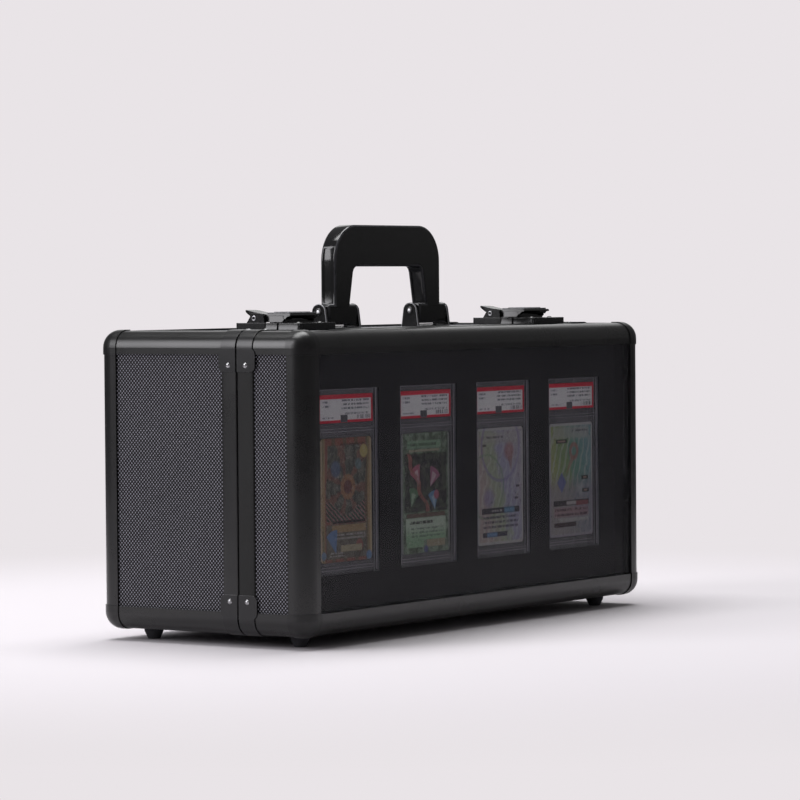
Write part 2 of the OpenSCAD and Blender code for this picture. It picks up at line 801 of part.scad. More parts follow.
module foam_end_walls() {
  color("#303032") both_sides() span([-w2 + clear_o, foam_front, z0 + clear_o],
    [-w2 + clear_o + end_wall_t, foam_back - floor_t - slip, z1 - clear_o]);
}

module row_dividers() {
  bay = (row_len - divider_n * divider_t) / (divider_n + 1);
  color("#38383a") for (row = [0:1]) for (i = [1:divider_n]) {
    x = -row_len / 2 + i * bay + (i - 1) * divider_t;
    z = z0 + clear_o + row_wall_t + row * (row_h + row_wall_t);
    span([x, foam_front + 4, z + slip],
      [x + divider_t, foam_back - floor_t - slip, z + row_h - slip]);
  }
}

module window_pane() {
  color([0.06, 0.06, 0.07, 0.6]) span([-w2 + edge_r + 0.1, -d2 + panel_o, z0 + edge_r + 0.1],
    [w2 - edge_r - 0.1, -d2 + panel_o + pane_t, z1 - edge_r - 0.1]);
}

module front_edge_extrusions() {
  color("#1b1b1d") face_edges();
}

module lid_depth_extrusions() {
  start = -d2 + ball_len + slip;
  color("#1b1b1d") both_sides() low_and_high()
    edge_along_y(start, lid_y - lid_rim_w - slip - start);
}

module front_ball_corners() {
  color("#19191b") ball_corners();
}

module lid_rim_bars() {
  color("#1d1d1f") translate([0, lid_y, 0]) mirror([0, 1, 0])
    rim_bars(lid_rim_w, lid_rim_in, 0, lid_rivet_y);
}

module lid_rim_brackets() {
  color("#222224") translate([0, lid_y, 0]) mirror([0, 1, 0])
    rim_brackets(lid_rim_w, lid_leaf, lid_rim_in, 0, lid_rivet_y);
}

module lid_rivets() {
  color("#c8c8ca") rim_rivets(lid_y - lid_rivet_y);
}

module lid_side_panels() {
  color("#2c2c2e") side_panels(-d2 + edge_r + 0.1, lid_y - rim_web - slip);
}

module lid_top_panel() {
  color("#2c2c2e") translate([0, 0, 2 * zm]) mirror([0, 0, 1])
    low_panel(-d2 + edge_r + 0.1, lid_y - rim_web - slip);
}

module lid_bottom_panel() {
  color("#2c2c2e") low_panel(-d2 + edge_r + 0.1, lid_y - rim_web - slip);
}

module front_feet() {
  color("#151515") feet(-d2 + foot_y);
}

// Foam frame between the pane and the mat, hidden behind the flanges
module window_spacer() {
  front = -d2 + clear_o;
  color("#141415") difference() {
    span([-w2 + clear_o, front, z0 + clear_o], [w2 - clear_o, mat_front - slip, z1 - clear_o]);
    span([-w2 + flange_w, front - 1, z0 + flange_w], [w2 - flange_w, mat_front + 1,
      z1 - flange_w]);
  }
}

// Mat with a lip and a pocket for each card box, open to the rear
module display_mat() {
  color("#1a1a1c") difference() {
    span([-w2 + clear_o, mat_front, z0 + clear_o], [w2 - clear_o, mat_front + mat_t,
      z1 - clear_o]);
    for (i = slabs) translate([i * slab_pitch, 0, z0 + slab_z]) {
      span([-mat_hole_w / 2, mat_front - 1, -mat_hole_h / 2],
        [mat_hole_w / 2, slab_front + 1, mat_hole_h / 2]);
      span([-slab_w / 2 - slip, slab_front - slip, -slab_h / 2 - slip],
        [slab_w / 2 + slip, mat_front + mat_t + 1, slab_h / 2 + slip]);
    }
  }
}

// Upright block with four rounded corners, from y = 0 to y = t
module rounded_block(w, h, t, r) {
  translate([0, t, 0]) rotate([90, 0, 0]) linear_extrude(t) {
    translate([-w / 2, -h / 2 + r]) square([w, h - 2 * r]);
    translate([-w / 2 + r, -h / 2]) square([w - 2 * r, h]);
    for (sx = [-1, 1]) for (sz = [-1, 1])
      translate([sx * (w / 2 - r), sz * (h / 2 - r)]) circle(r = r, $fn = 48);
  }
}

module slab_fronts() {
  color([0.85, 0.87, 0.9, 0.4]) for (i = slabs) translate([i * slab_pitch, 0, z0]) difference() {
    translate([0, slab_front, slab_z]) rounded_block(slab_w, slab_h, split_y - slab_front,
      slab_r);
    translate([0, split_y - 0.9, card_z]) rounded_block(card_w + 0.6, card_h + 0.6, 2, 3.2);
    translate([0, split_y - 0.9, label_z]) rounded_block(label_w + 0.6, label_h + 0.6, 2, 1);
    translate([0, slab_front - 1, card_z])
      rounded_block(card_w + 3, card_h + 5, 1.5, 4);
    translate([0, slab_front - 1, label_z])
      rounded_block(label_w + 2, label_h + 2, 1.5, 1.6);
  }
}

module slab_backs() {
  color([0.8, 0.82, 0.85, 0.5]) for (i = slabs)
    translate([i * slab_pitch, split_y + slip, z0 + slab_z])
      rounded_block(slab_w, slab_h, slab_t - 2.4 - slip, slab_r);
}

module slab_labels() {
  color("#e8e4e2") for (i = slabs)
    translate([i * slab_pitch, split_y - card_t, z0 + label_z])
      rounded_block(label_w, label_h, card_t, 0.8);
}

module card(i) {
  translate([slabs[i] * slab_pitch, split_y - card_t, z0 + card_z])
    rounded_block(card_w, card_h, card_t, 3);
}

module card_1() {
  color("#b08a3c") card(0);
}

module card_2() {
  color("#5f8f5a") card(1);
}

module card_3() {
  color("#b9b7cf") card(2);
}

module card_4() {
  color("#a9c4b4") card(3);
}

back_panel();
base_side_panels();
base_top_panel();
base_bottom_panel();
rear_edge_extrusions();
base_depth_extrusions();
rear_ball_corners();
base_rim_bars();
base_rim_brackets();
base_rivets();
rear_feet();
hinge_base_leaves();
hinge_pins();
latch_base_plates();
latch_pins();
latch_plate_rivets();
handle_brackets();
handle_pins();
handle_bracket_rivets();
foam_floor();
foam_row_walls();
foam_end_walls();
row_dividers();
handle_grip();
latch_arm_left();
latch_cover_left();
latch_arm_right();
latch_cover_right();
window_pane();
front_edge_extrusions();
lid_depth_extrusions();
front_ball_corners();
lid_rim_bars();
lid_rim_brackets();
lid_rivets();
lid_side_panels();
lid_top_panel();
lid_bottom_panel();
front_feet();
hinge_lid_leaves();
keeper_plates();
keeper_rivets();
window_spacer();
display_mat();
slab_fronts();
slab_backs();
slab_labels();
card_1();
card_2();
card_3();
card_4();
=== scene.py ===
import bpy
import bmesh
import math
from mathutils import Matrix, Vector


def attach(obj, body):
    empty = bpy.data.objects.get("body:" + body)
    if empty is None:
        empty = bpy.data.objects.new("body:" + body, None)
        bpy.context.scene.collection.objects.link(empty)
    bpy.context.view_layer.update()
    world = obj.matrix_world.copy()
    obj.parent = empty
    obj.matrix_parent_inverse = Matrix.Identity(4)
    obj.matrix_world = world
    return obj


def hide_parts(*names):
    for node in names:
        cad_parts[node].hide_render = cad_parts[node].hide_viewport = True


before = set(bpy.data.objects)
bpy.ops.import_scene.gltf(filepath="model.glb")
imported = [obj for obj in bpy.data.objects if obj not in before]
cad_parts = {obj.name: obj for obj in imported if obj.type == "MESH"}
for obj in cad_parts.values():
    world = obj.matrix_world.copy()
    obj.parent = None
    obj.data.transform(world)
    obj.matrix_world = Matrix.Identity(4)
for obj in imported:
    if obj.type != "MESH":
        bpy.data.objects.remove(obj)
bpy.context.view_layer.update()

print("frame loaded,", len(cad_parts), "nodes")


# ---- shader wiring: one method makes any node, and a wire is a socket that can be calculated with

def tone(code):  # a screen colour as Blender's linear numbers
    parts = [int(code[i:i + 2], 16) / 255 for i in (1, 3, 5)]
    return tuple(c / 12.92 if c <= 0.04045 else ((c + 0.055) / 1.055) ** 2.4 for c in parts)


class Wire:
    def __init__(self, finish, socket):
        self.finish, self.socket = finish, socket

    def math(self, operation, *others):
        feeds = {i: value for i, value in enumerate((self,) + others)}
        return self.finish.node("Math", {"operation": operation}, feeds)

    def __add__(self, other):
        return self.math("ADD", other)

    def __sub__(self, other):
        return self.math("SUBTRACT", other)

    def __rsub__(self, other):
        return self.finish.node("Math", {"operation": "SUBTRACT"}, {0: other, 1: self})

    def __mul__(self, other):
        return self.math("MULTIPLY", other)

    def __truediv__(self, other):
        return self.math("DIVIDE", other)

    __radd__, __rmul__ = __add__, __mul__

    def __abs__(self):
        return self.math("ABSOLUTE")

    def cosine(self):
        return self.math("COSINE")

    def atLeast(self, other):
        return self.math("MAXIMUM", other)

    def ramp(self, low, high):  # 0 below low, 1 above high, smooth between
        return self.finish.node("MapRange", {"interpolation_type": "SMOOTHSTEP"},
                                {"Value": self, "From Min": low, "From Max": high})


class Finish:  # a material, or the world, and its nodes
    def __init__(self, name, world=None):
        self.material = world or bpy.data.materials.new(name)
        self.material.use_nodes = True
        self.tree = self.material.node_tree
        self.tree.nodes.clear()
        self.done = {}

    def node(self, kind, settings=None, feeds=None, out=0):
        made = self.tree.nodes.new("ShaderNode" + kind)
        for key, value in (settings or {}).items():
            setattr(made, key, value)
        for key, value in (feeds or {}).items():
            socket = made.inputs[key]
            if isinstance(value, Wire):
                self.tree.links.new(value.socket, socket)
            elif socket.type == "RGBA" and len(value) == 3:
                socket.default_value = (*value, 1)
            else:
                socket.default_value = value
        return Wire(self, made.outputs[out]) if len(made.outputs) else made

    def spot(self):  # the point on the piece, in millimetres
        if "spot" not in self.done:
            raw = self.node("TexCoord", out="Object")
            self.done["spot"] = self.node("VectorMath", {"operation": "SCALE"},
                                          {0: raw, "Scale": 1000.0})
        return self.done["spot"]

    def axes(self):
        if "axes" not in self.done:
            spot = self.spot()
            split = self.tree.nodes.new("ShaderNodeSeparateXYZ")
            self.tree.links.new(spot.socket, split.inputs[0])
            self.done["axes"] = [Wire(self, o) for o in split.outputs]
        return self.done["axes"]

    def noise(self, size, detail=2.0, stretch=(1, 1, 1)):  # blotches of about size millimetres
        place = self.spot()
        if stretch != (1, 1, 1):
            place = self.node("VectorMath", {"operation": "MULTIPLY"}, {0: place, 1: stretch})
        return self.node("TexNoise", {}, {"Vector": place, "Scale": 1.0 / size, "Detail": detail})

    def mix(self, share, first, second):  # colours are wires, numbers or screen codes
        first, second = [tone(c) if isinstance(c, str) else c for c in (first, second)]
        return self.node("Mix", {"data_type": "RGBA"}, {0: share, 6: first, 7: second}, out=2)

    def bump(self, height, depth, strength=1.0):  # depth in millimetres
        return self.node("Bump", {}, {"Height": height, "Distance": depth / 1000,
                                      "Strength": strength})

    def seen(self):  # 1 for the camera, also through clear pieces
        return self.node("LightPath", out="Is Camera Ray").atLeast(
            self.node("LightPath", out="Is Transmission Ray"))

    def shade(self, **feeds):
        sockets = {"Base_Color": "Base Color", "Specular": "Specular IOR Level"}
        surface = self.node("BsdfPrincipled", {}, {sockets.get(k, k): v for k, v in feeds.items()})
        self.node("OutputMaterial", {}, {"Surface": surface})
        return self.material


# ---- finishes

cardPlace = {"pitch": 101.3, "cardZ": 101.6, "labelZ": 166.5}  # millimetres


def times(colour, factor):
    return tuple(c * factor for c in colour)


def wearAndSheenOf(f, amount, wearAndSheenSpread=(0.5, 0.68)):  # 1 on spots of the softened edges: rubbed wear on the brackets, plates and feet, painted highlight on the handle, its bracket ears and the latch covers
    edge = f.node("Attribute", {"attribute_name": "wearAndSheen"}, out="Fac")
    return edge * f.noise(3.5, 3).ramp(*wearAndSheenSpread) * amount


def pitchPlace(x):  # millimetres from the middle of the nearest card
    pitch = cardPlace["pitch"]
    return (x + 2 * pitch).math("FLOORED_MODULO", pitch) - pitch / 2


def boxMask(u, w, middle, half, soft=0.35):
    across = (abs(u - middle[0]) - half[0]).ramp(soft, -soft)
    return across * (abs(w - middle[1]) - half[1]).ramp(soft, -soft)


def satinBlack(name, colour, rough, grain=0.35, wearAndSheen=0.0, specular=0.5, wearAndSheenSpread=(0.5, 0.68),
               wearAndSheenTone=(0.16, 0.16, 0.17)):
    f = Finish(name)
    cloud, fine = f.noise(38, 2), f.noise(grain, 3)
    base = f.mix(cloud.ramp(0.3, 0.75), times(colour, 0.8), times(colour, 1.3))
    base = f.mix(fine.ramp(0.5, 0.85) * 0.25, base, times(colour, 2.2))
    # lighter softened edges: rubbed wear on the brackets and plates, painted highlight on the
    # handle bracket ears and the latch covers
    if wearAndSheen:
        base = f.mix(wearAndSheenOf(f, wearAndSheen, wearAndSheenSpread), base, wearAndSheenTone)
    return f.shade(Base_Color=base, Roughness=cloud * 0.08 + fine * 0.05 + rough,
                   Specular=specular, Normal=f.bump(fine, 0.01, 0.35))


def dottedPanel(name, first, second):  # embossed dots on a square net set on its corner
    f = Finish(name)
    axes = f.axes()
    u, w = axes[first] * 0.36, axes[second] * 0.34
    wave = (u * 2 * math.pi).cosine() * (w * 2 * math.pi).cosine()
    cloud, fine = f.noise(60, 2), f.noise(0.7, 2)
    # painted highlight: the raised dots are painted light grey; the plastic between them stays near
    # black
    dot = wave.ramp(0.12, 0.5)
    gap = f.mix(fine, "#040405", "#0d0d0f")
    top = f.mix(fine.ramp(0.3, 0.8) * 0.6 + cloud * 0.3, "#706f78", "#9b9aa4")
    return f.shade(Base_Color=f.mix(dot, gap, top), Roughness=0.6 - dot * 0.16 + fine * 0.08,
                   Specular=0.25, Normal=f.bump(wave.ramp(-0.2, 0.9) + fine * 0.12, 0.35, 0.9))


def rubberFinish():
    f = Finish("footRubber")
    cloud, fine = f.noise(9, 2), f.noise(0.4, 3)
    base = f.mix(cloud, "#353538", "#424246")
    base = f.mix(wearAndSheenOf(f, 0.7), base, "#606064")
    return f.shade(Base_Color=base, Roughness=fine * 0.15 + 0.68, Specular=0.25,
                   Normal=f.bump(fine, 0.05, 0.6))


def brightMetal(name, colour, rough):
    f = Finish(name)
    cloud, fine = f.noise(1.6, 3), f.noise(0.18, 2)
    base = f.mix(cloud, times(colour, 0.8), colour)
    return f.shade(Base_Color=base, Metallic=1.0, Roughness=cloud * 0.12 + fine * 0.08 + rough,
                   Normal=f.bump(fine, 0.01, 0.4))


def glossyPlastic():
    f = Finish("handlePlastic")
    cloud, fine = f.noise(26, 2), f.noise(0.5, 3, (1, 1, 0.12))
    base = f.mix(cloud, "#131314", "#1a1a1b")
    # painted highlight: the handle's softened edges are lightened to grey
    base = f.mix(wearAndSheenOf(f, 0.6, (0.25, 0.5)), base, "#4c4c50")
    return f.shade(Base_Color=base, Roughness=cloud * 0.05 + fine.ramp(0.4, 0.8) * 0.04 + 0.09,
                   Specular=0.45, Normal=f.bump(f.noise(9, 2) + fine * 0.06, 0.03, 0.3))


def foamFinish(name, colour, cell=0.9, relief=0.5):
    f = Finish(name)
    cells = f.node("TexVoronoi", {"feature": "F1"}, {"Vector": f.spot(), "Scale": 1.0 / cell})
    cloud = f.noise(30, 3)
    base = f.mix(cells.ramp(0.1, 0.8) * relief * 2, colour, times(colour, 0.5))
    base = f.mix(cloud.ramp(0.35, 0.75) * 0.5, base, times(colour, 1.5))
    return f.shade(Base_Color=base, Roughness=cells * 0.12 + 0.82, Specular=0.1,
                   Normal=f.bump(cells, cell * 0.15, relief))


def smokedAcrylic():
    f = Finish("smokedAcrylic")
    smear = f.noise(45, 3, (1, 1, 0.5))
    base = f.mix(smear, "#57575a", "#5c5c60")
    return f.shade(Base_Color=base, Roughness=smear.ramp(0.35, 0.8) * 0.05 + 0.04,
                   Alpha=smear * 0.02 + windowTint["alpha"], Specular=windowTint["specular"],
                   Normal=f.bump(f.noise(90, 1), 0.03, 0.2))


def boxPlastic():  # hazy at its borders, clear over card and label
    f = Finish("boxPlastic")
    cloud, fine = f.noise(18, 2), f.noise(1.2, 3, (1, 1, 0.3))
    x, _, z = f.axes()
    u = pitchPlace(x)
    clear = boxMask(u, z, (0, cardPlace["cardZ"]), (32, 44.5), 0.5)
    clear = clear + boxMask(u, z, (0, cardPlace["labelZ"]), (34, 10.5), 0.5)
    base = f.mix(cloud, "#aaa8b2", "#bfbdc6")
    edge = f.node("Attribute", {"attribute_name": "wearAndSheen"}, out="Fac")
    alpha = boxTint["border"] + cloud * 0.012 - clear * boxTint["clearer"]
    return f.shade(Base_Color=base, Roughness=fine.ramp(0.4, 0.8) * 0.1 + 0.16,
                   Alpha=alpha + edge * boxTint["edge"], Specular=0.25,
                   Normal=f.bump(fine, 0.004, 0.4))


windowTint = {"alpha": 0.145, "specular": 0.14}
boxTint = {"border": 0.11, "clearer": 0.1, "edge": 0.5}

print("finishes ready")


# ---- printed paper: every mark is worked out from the place on the card

def discMask(u, w, middle, radius, soft=0.5):
    du, dw = u - middle[0], w - middle[1]
    return (du * du + dw * dw).math("SQRT").ramp(radius + soft, radius - soft)


def fanMask(u, w, tip, turn, spread, reach):  # a slice of a disc, for petals and kites
    du, dw = u - tip[0], w - tip[1]
    a = du * math.cos(turn) + dw * math.sin(turn)
    b = dw * math.cos(turn) - du * math.sin(turn)
    away = (a * a + b * b).math("SQRT")
    return (abs(b) - a * spread).ramp(0.4, -0.4) * away.ramp(reach + 0.5, reach - 0.5)


class Face:  # a printed face: each mark goes over the last
    def __init__(self, f, u, w, ink=None):
        self.f, self.u, self.w, self.ink = f, u, w, ink

    def mark(self, mask, colour, share=1):
        self.ink = self.f.mix(mask if share == 1 else mask * share, self.ink, colour)

    def box(self, middle, half, colour, soft=0.35, share=1):
        self.mark(boxMask(self.u, self.w, middle, half, soft), colour, share)

    def disc(self, middle, radius, colour, soft=0.5, share=1):
        self.mark(discMask(self.u, self.w, middle, radius, soft), colour, share)

    def fan(self, tip, turn, spread, reach, colour, share=1):
        self.mark(fanMask(self.u, self.w, tip, turn, spread, reach), colour, share)

    def ring(self, middle, radius, half, colour, share, soft=0.8):
        du, dw = self.u - middle[0], self.w - middle[1]
        away = (du * du + dw * dw).math("SQRT")
        self.mark((abs(away - radius) - half).ramp(soft, -soft), colour, share)

    def rows(self, middle, half, count, colour, share=0.7):  # greeked lines of print
        line = ((self.w - middle[1]) * (count / (2 * half[1])) + count / 2).math("FRACT")
        row = line.ramp(0.15, 0.3) * line.ramp(0.8, 0.65)
        text = self.f.noise(1.1, 1, (1, 1, 0.2)).ramp(0.40, 0.5)
        self.mark(boxMask(self.u, self.w, middle, half) * row * text, colour, share)


def labelFinish():  # red frame, rows of greeked print, a grey square
    f = Finish("labelPaper")
    x, _, z = f.axes()
    u, w = pitchPlace(x), z - cardPlace["labelZ"]
    face = Face(f, u, w, f.mix(f.noise(5, 3), "#d6d4d8", "#eae8ec"))
    face.mark(1 - boxMask(u, w, (0, -0.6), (31.4, 7.5)), f.mix(f.noise(4, 2), "#cf1a34", "#dd2c44"))
    face.rows((12, 3.0), (17, 4.2), 3, "#5c5e6a", 0.85)
    face.rows((-24.5, 3.4), (4.5, 3.0), 2, "#6c6e78", 0.85)
    face.rows((14, -3.6), (15, 1.5), 1, "#8a8b93", 0.85)
    bars = f.noise(0.8, 1, (1, 1, 0.02)).ramp(0.47, 0.52)
    face.mark(bars * boxMask(u, w, (22, -6.2), (8, 1.4), 0.2), "#4a4c55", 0.8)
    face.rows((-22, -6.3), (7, 1.2), 1, "#7a7c86", 0.8)
    face.box((-2, -7.2), (4.3, 2.6), "#56555c", 0.25)
    return f.shade(Base_Color=face.ink, Roughness=f.noise(1.5, 2) * 0.15 + 0.5, Specular=0.15,
                   Normal=f.bump(f.noise(0.4, 2), 0.01, 0.4))


def cardFinish(name, number, paint, value):  # value: how bright the print is
    f = Finish(name)
    x, _, z = f.axes()
    face = Face(f, x - (number - 2.5) * cardPlace["pitch"], z - cardPlace["cardZ"])
    paint(face)
    fleck = f.noise(2.4, 3) * 0.9 + f.noise(0.9, 2) * 0.5
    face.mark(fleck.ramp(0.64, 0.42), "#1c1a1a", 0.55)
    face.mark(fleck.ramp(0.8, 0.95), "#dcd8d4", 0.35)
    ink = f.node("HueSaturation", {}, {"Saturation": 0.8, "Value": value, "Color": face.ink})
    return f.shade(Base_Color=ink, Roughness=f.noise(2.2, 4) * 0.18 + 0.3, Specular=0.12,
                   Normal=f.bump(f.noise(0.5, 2), 0.01, 0.4))


def paintGold(face):  # sun over striped fields, in a gold border
    f, u, w = face.f, face.u, face.w
    blot, speck = f.noise(6, 3), f.noise(1.6, 2)
    bend = u + (w * 0.09).cosine() * 1.2
    face.ink = f.mix((abs(u) - 26.2).ramp(0.8, -0.8), "#c9a062", "#a8583c")
    face.mark((bend * 0.45 + 1.2).cosine().ramp(0.2, 0.9), "#5a7a58", 0.5)
    face.mark((abs(u) - 29.6).ramp(-0.3, 0.3), "#dcc08a")
    picture = (abs(bend) - 24.0).ramp(0.7, -0.7) * (abs(w - 12) - 27).ramp(0.6, -0.6)
    sky = Face(f, u, w, f.mix(blot.ramp(0.38, 0.62), "#5d6152", "#8f8b7c"))
    ray = (u.math("ARCTAN2", w - 8.0) * 7.0 + blot * 3.0).cosine().ramp(0.2, 0.7)
    sky.mark(ray, "#a8543a", 0.55)
    sky.disc((2, 9), 9.0, "#c9823f", 0.8, 0.8)
    sky.disc((2, 9), 5.0, "#7c3a34", 0.6, 0.9)
    sky.disc((-13, 22), 6.0, "#6279a0", 1.5, 0.8)
    sky.disc((15, 25), 4.0, "#7ba3a4", 1.0, 0.8)
    hill = (w + (u * 0.13).cosine() * 5.0 + 6.0).ramp(0.8, -0.8)
    stripes = ((u + w * 1.4) * 1.3 + blot * 4.0).cosine().ramp(-0.2, 0.5)
    sky.mark(hill, f.mix(stripes, "#46664a", "#b5777a"))
    sky.mark(speck.ramp(0.62, 0.72), "#d8d0c4", 0.5)
    sky.mark(speck.ramp(0.42, 0.3), "#26241f", 0.6)
    face.mark(picture, sky.ink)
    face.box((3, -15.8), (20, 0.9), "#2e211a")
    face.box((0, -29.5), (25, 12.2), f.mix(blot.ramp(0.4, 0.6), "#6e6552", "#8a8272"), 0.8)
    face.box((3, -20.5), (21, 2.6), "#c29a5c")
    face.rows((4, -26), (19, 2.6), 2, "#d5d0c8")
    face.fan((-13, -38), 1.9, 0.45, 17, "#5c8fd0")
    face.disc((16, -33), 4.2, "#b5503f", 1.0)
    face.box((6, -34.6), (13, 2.3), "#cbb98c")
    face.rows((-12, -38.6), (9, 2.0), 2, "#dcd9d4")
    face.disc((28, -41), 3.4, "#5f95cc", 0.9)
    face.disc((-28, -39), 3.0, "#7aa0c4", 0.9)
    face.rows((8, 39.5), (15, 1.3), 1, "#3e332b")
    face.disc((22, 34), 4.8, "#d6bd55", 0.6)


def paintGreen(face):  # kites over a dark wood, on a green card
    face.u = face.u * -1  # laid out from right to left
    f, u, w = face.f, face.u, face.w
    blot, speck = f.noise(6, 3), f.noise(1.6, 2)
    face.ink = f.mix(blot.ramp(0.4, 0.6), "#5a6d56", "#8ba888")
    face.mark(speck.ramp(0.6, 0.7), "#c9d4c4", 0.4)
    face.mark((abs(u) - 29.4).ramp(-0.3, 0.3), "#9aa39a")
    picture = boxMask(u, w, (0, 7.5), (27.5, 21.5), 1.0)
    wood = f.mix(blot.ramp(0.42, 0.6), "#1b1d19", "#4c5742")
    face.mark(picture, f.mix(speck.ramp(0.62, 0.72) * 0.6, wood, "#8f9a86"))
    for tip, turn, reach, colour, pale in (((-6, 4), 2.1, 15, "#b04a7c", "#e0bccb"),
                                           ((8, 6), 1.1, 15, "#c23a68", "#e6c9d2"),
                                           ((-12, -13), 1.4, 14, "#4d8fc4", "#a9cbe0"),
                                           ((19, -10), 1.9, 14, "#5c8a60", "#b7cfae")):
        petal = fanMask(u, w, tip, turn, 0.55, reach) * picture
        face.mark(petal, colour)
        face.mark(petal * fanMask(u, w, tip, turn, 0.28, reach - 3.5), pale, 0.75)
    trail = (abs(u - 6 - w * 0.62 - (w * 0.35).cosine() * 2.0) - 2.4).ramp(0.6, -0.6)
    face.mark(trail * picture * speck.ramp(0.3, 0.5), "#b5564c", 0.85)
    face.mark(discMask(u, w, (-14, -2), 3.4, 0.7) * picture, "#c04a72")
    face.box((2, 35.5), (22, 2.8), "#86b389", 0.8)
    face.rows((4, 35.5), (18, 2.0), 1, "#2f3d30")
    face.box((2, 31), (20, 0.8), "#b9b08f")
    face.box((0, -16.4), (25, 1.5), "#7a5d4c")
    panel = f.mix((w * 0.09 + 3.2).ramp(0.2, 1.0), "#93c795", "#c5dcc2")
    face.box((0, -26.5), (26, 8.2), panel, 0.6)
    face.rows((6, -21.5), (15, 2.2), 1, "#20261f", 0.9)
    face.rows((-2, -28.8), (22, 4.2), 3, "#5d7a5e")
    face.box((14, -37.2), (11, 2.6), "#8ec08f")
    face.box((-13, -37.2), (12, 2.6), "#b8a981")
    face.disc((0, -41.5), 2.6, "#5b5f9a", 0.8)


def foilBase(face, first, second, third, fourth):  # soft bands of colour under a pale border
    f, u, w = face.f, face.u, face.w
    blot = f.noise(9, 3)
    slope = u * 0.013 + w * 0.004 + blot * 0.35 + 0.32
    face.ink = f.mix(slope.ramp(0.15, 0.42), first, second)
    face.mark(slope.ramp(0.45, 0.6), third)
    face.mark(slope.ramp(0.62, 0.9), fourth)
    face.mark(((u * 0.8 - w * 0.25) + blot * 9.0).cosine().ramp(0.3, 1.0), "#f0edf2", 0.35)
    face.mark(f.noise(1.6, 2).ramp(0.66, 0.76), "#6f6a78", 0.35)
    face.box((0, 36.5), (26, 4.5), "#cfc9c6", 2.0, 0.6)
    face.mark(1 - boxMask(u, w, (0, 0), (29.4, 41.9), 0.4), "#d6d3d4")


def paintPastel(face):  # crossing arcs on soft rainbow foil
    foilBase(face, "#cdb4b0", "#b9c8a4", "#b4b2d6", "#c3bcd0")
    face.disc((12, 26), 6.5, "#c47a70", 2.5, 0.75)
    face.fan((15, 10), 1.7, 0.3, 12, "#a5695c", 0.6)
    face.ring((0, 30), 26, 1.2, "#8f84c4", 0.6)
    face.ring((-20, 0), 24, 0.8, "#7fae78", 0.6)
    face.disc((-16, -9), 7.0, "#9a8fd0", 3.0, 0.6)
    face.box((0, -18.5), (26, 2.2), "#3f3d49")
    face.box((12, -18.5), (7, 1.9), "#5fa8d8", 1.5)
    face.rows((-6, -18.5), (8, 1.4), 1, "#e4e2e8")
    face.rows((0, -27), (24, 5.4), 3, "#4c4860", 0.85)
    face.box((-8, -36.4), (17, 1.8), "#3c4052")
    face.box((-12, -36.4), (7, 1.5), "#5c9bd6", 1.2)
    for spot in ((24, -1), (22, -10), (-22, 31)):
        face.box(spot, (2.4, 0.9), "#3d3a40", 0.3, 0.8)
    face.rows((-8, 37), (12, 1.8), 1, "#57545c")


def paintMint(face):  # folded paper kites on mint foil
    foilBase(face, "#b5bf6a", "#8fb36a", "#6fae94", "#7fb3b8")
    u, w = face.u, face.w
    face.mark((w * 0.05 + 0.55).ramp(1.0, 0.0), "#a898b4", 0.7)
    face.ring((4, 22), 5.2, 1.7, "#c0685c", 0.75, 0.7)
    face.fan((-8, 4), 0.9, 0.16, 16, "#c28a76", 0.7)
    face.mark((abs(u + 14) * 1.2 + abs(w + 2) - 8).ramp(0.6, -0.6), "#5f68c4", 0.85)
    face.disc((14, -8), 4.5, "#d0ccd8", 2.0, 0.5)
    for middle, wide in (((-14, 30), 8.0), ((20, 1), 5.0), ((21, -9), 5.0)):
        face.box(middle, (wide, 1.5), "#35433a", 0.5)
        face.box(middle, (wide - 2.5, 0.7), "#b58f82", 0.5)
    face.box((0, -18), (26, 2.1), "#3a2e33")
    face.box((16, -18.6), (9, 1.8), "#a04450", 0.8)
    face.box((0, -18), (7, 1.3), "#cfc4c8", 0.8)
    face.box((0, -25), (25, 3.6), "#c48b94", 1.5, 0.7)
    face.rows((0, -25), (24, 3.8), 2, "#54384a", 0.85)
    face.box((3, -31), (22, 1.4), "#d0c8cc", 0.8, 0.8)
    face.box((-9, -34.8), (16, 1.7), "#4c2f36")
    face.rows((12, 38), (12, 1.5), 1, "#4d5250")


# ---- shaping helpers

def metres(x, y, z):
    return Vector((x, y, z)) / 1000


def rect(left, low, right, high):
    return [(left, low), (right, low), (right, high), (left, high)]


def cut(bm, point, facing):  # a line of edges where a plane crosses
    bmesh.ops.bisect_plane(bm, geom=bm.verts[:] + bm.edges[:] + bm.faces[:], dist=1e-7,
                           plane_co=metres(*point), plane_no=facing)


def vertsOf(geom):
    return [g for g in geom if isinstance(g, bmesh.types.BMVert)]


def roundCorners(bm, verts, radius, steps):
    bmesh.ops.bevel(bm, geom=verts, offset=radius / 1000, offset_type="OFFSET", segments=steps,
                    profile=0.5, affect="VERTICES", material=-1)


def drawnOut(bm, move):  # draws a flat shape out into a body, and gives its far side
    tops = vertsOf(bmesh.ops.extrude_face_region(bm, geom=bm.faces[:])["geom"])
    bmesh.ops.translate(bm, verts=tops, vec=metres(*move))
    return tops


def prism(points, axis, start, length, corners=None):
    # a flat outline in millimetres, some corners rounded, drawn out along an axis
    place = {"x": lambda a, b: (start, a, b), "y": lambda a, b: (a, start, b),
             "z": lambda a, b: (a, b, start)}[axis]
    bm = bmesh.new()
    verts = [bm.verts.new(metres(*place(a, b))) for a, b in points]
    bm.faces.new(verts)
    for radius in sorted(set((corners or {}).values()), reverse=True):
        picked = [verts[i] for i, r in corners.items() if r == radius]
        roundCorners(bm, picked, radius, max(3, round(radius * 0.7)))
    drawnOut(bm, {"x": (length, 0, 0), "y": (0, length, 0), "z": (0, 0, length)}[axis])
    return bm


def block(low, high):  # box between two corners, in millimetres
    size = [h - l for l, h in zip(low, high)]
    middle = [(h + l) / 2 for l, h in zip(low, high)]
    matrix = Matrix.Translation(metres(*middle)) @ Matrix.Diagonal((*metres(*size), 1))
    bm = bmesh.new()
    bmesh.ops.create_cube(bm, size=1.0, matrix=matrix)
    return bm


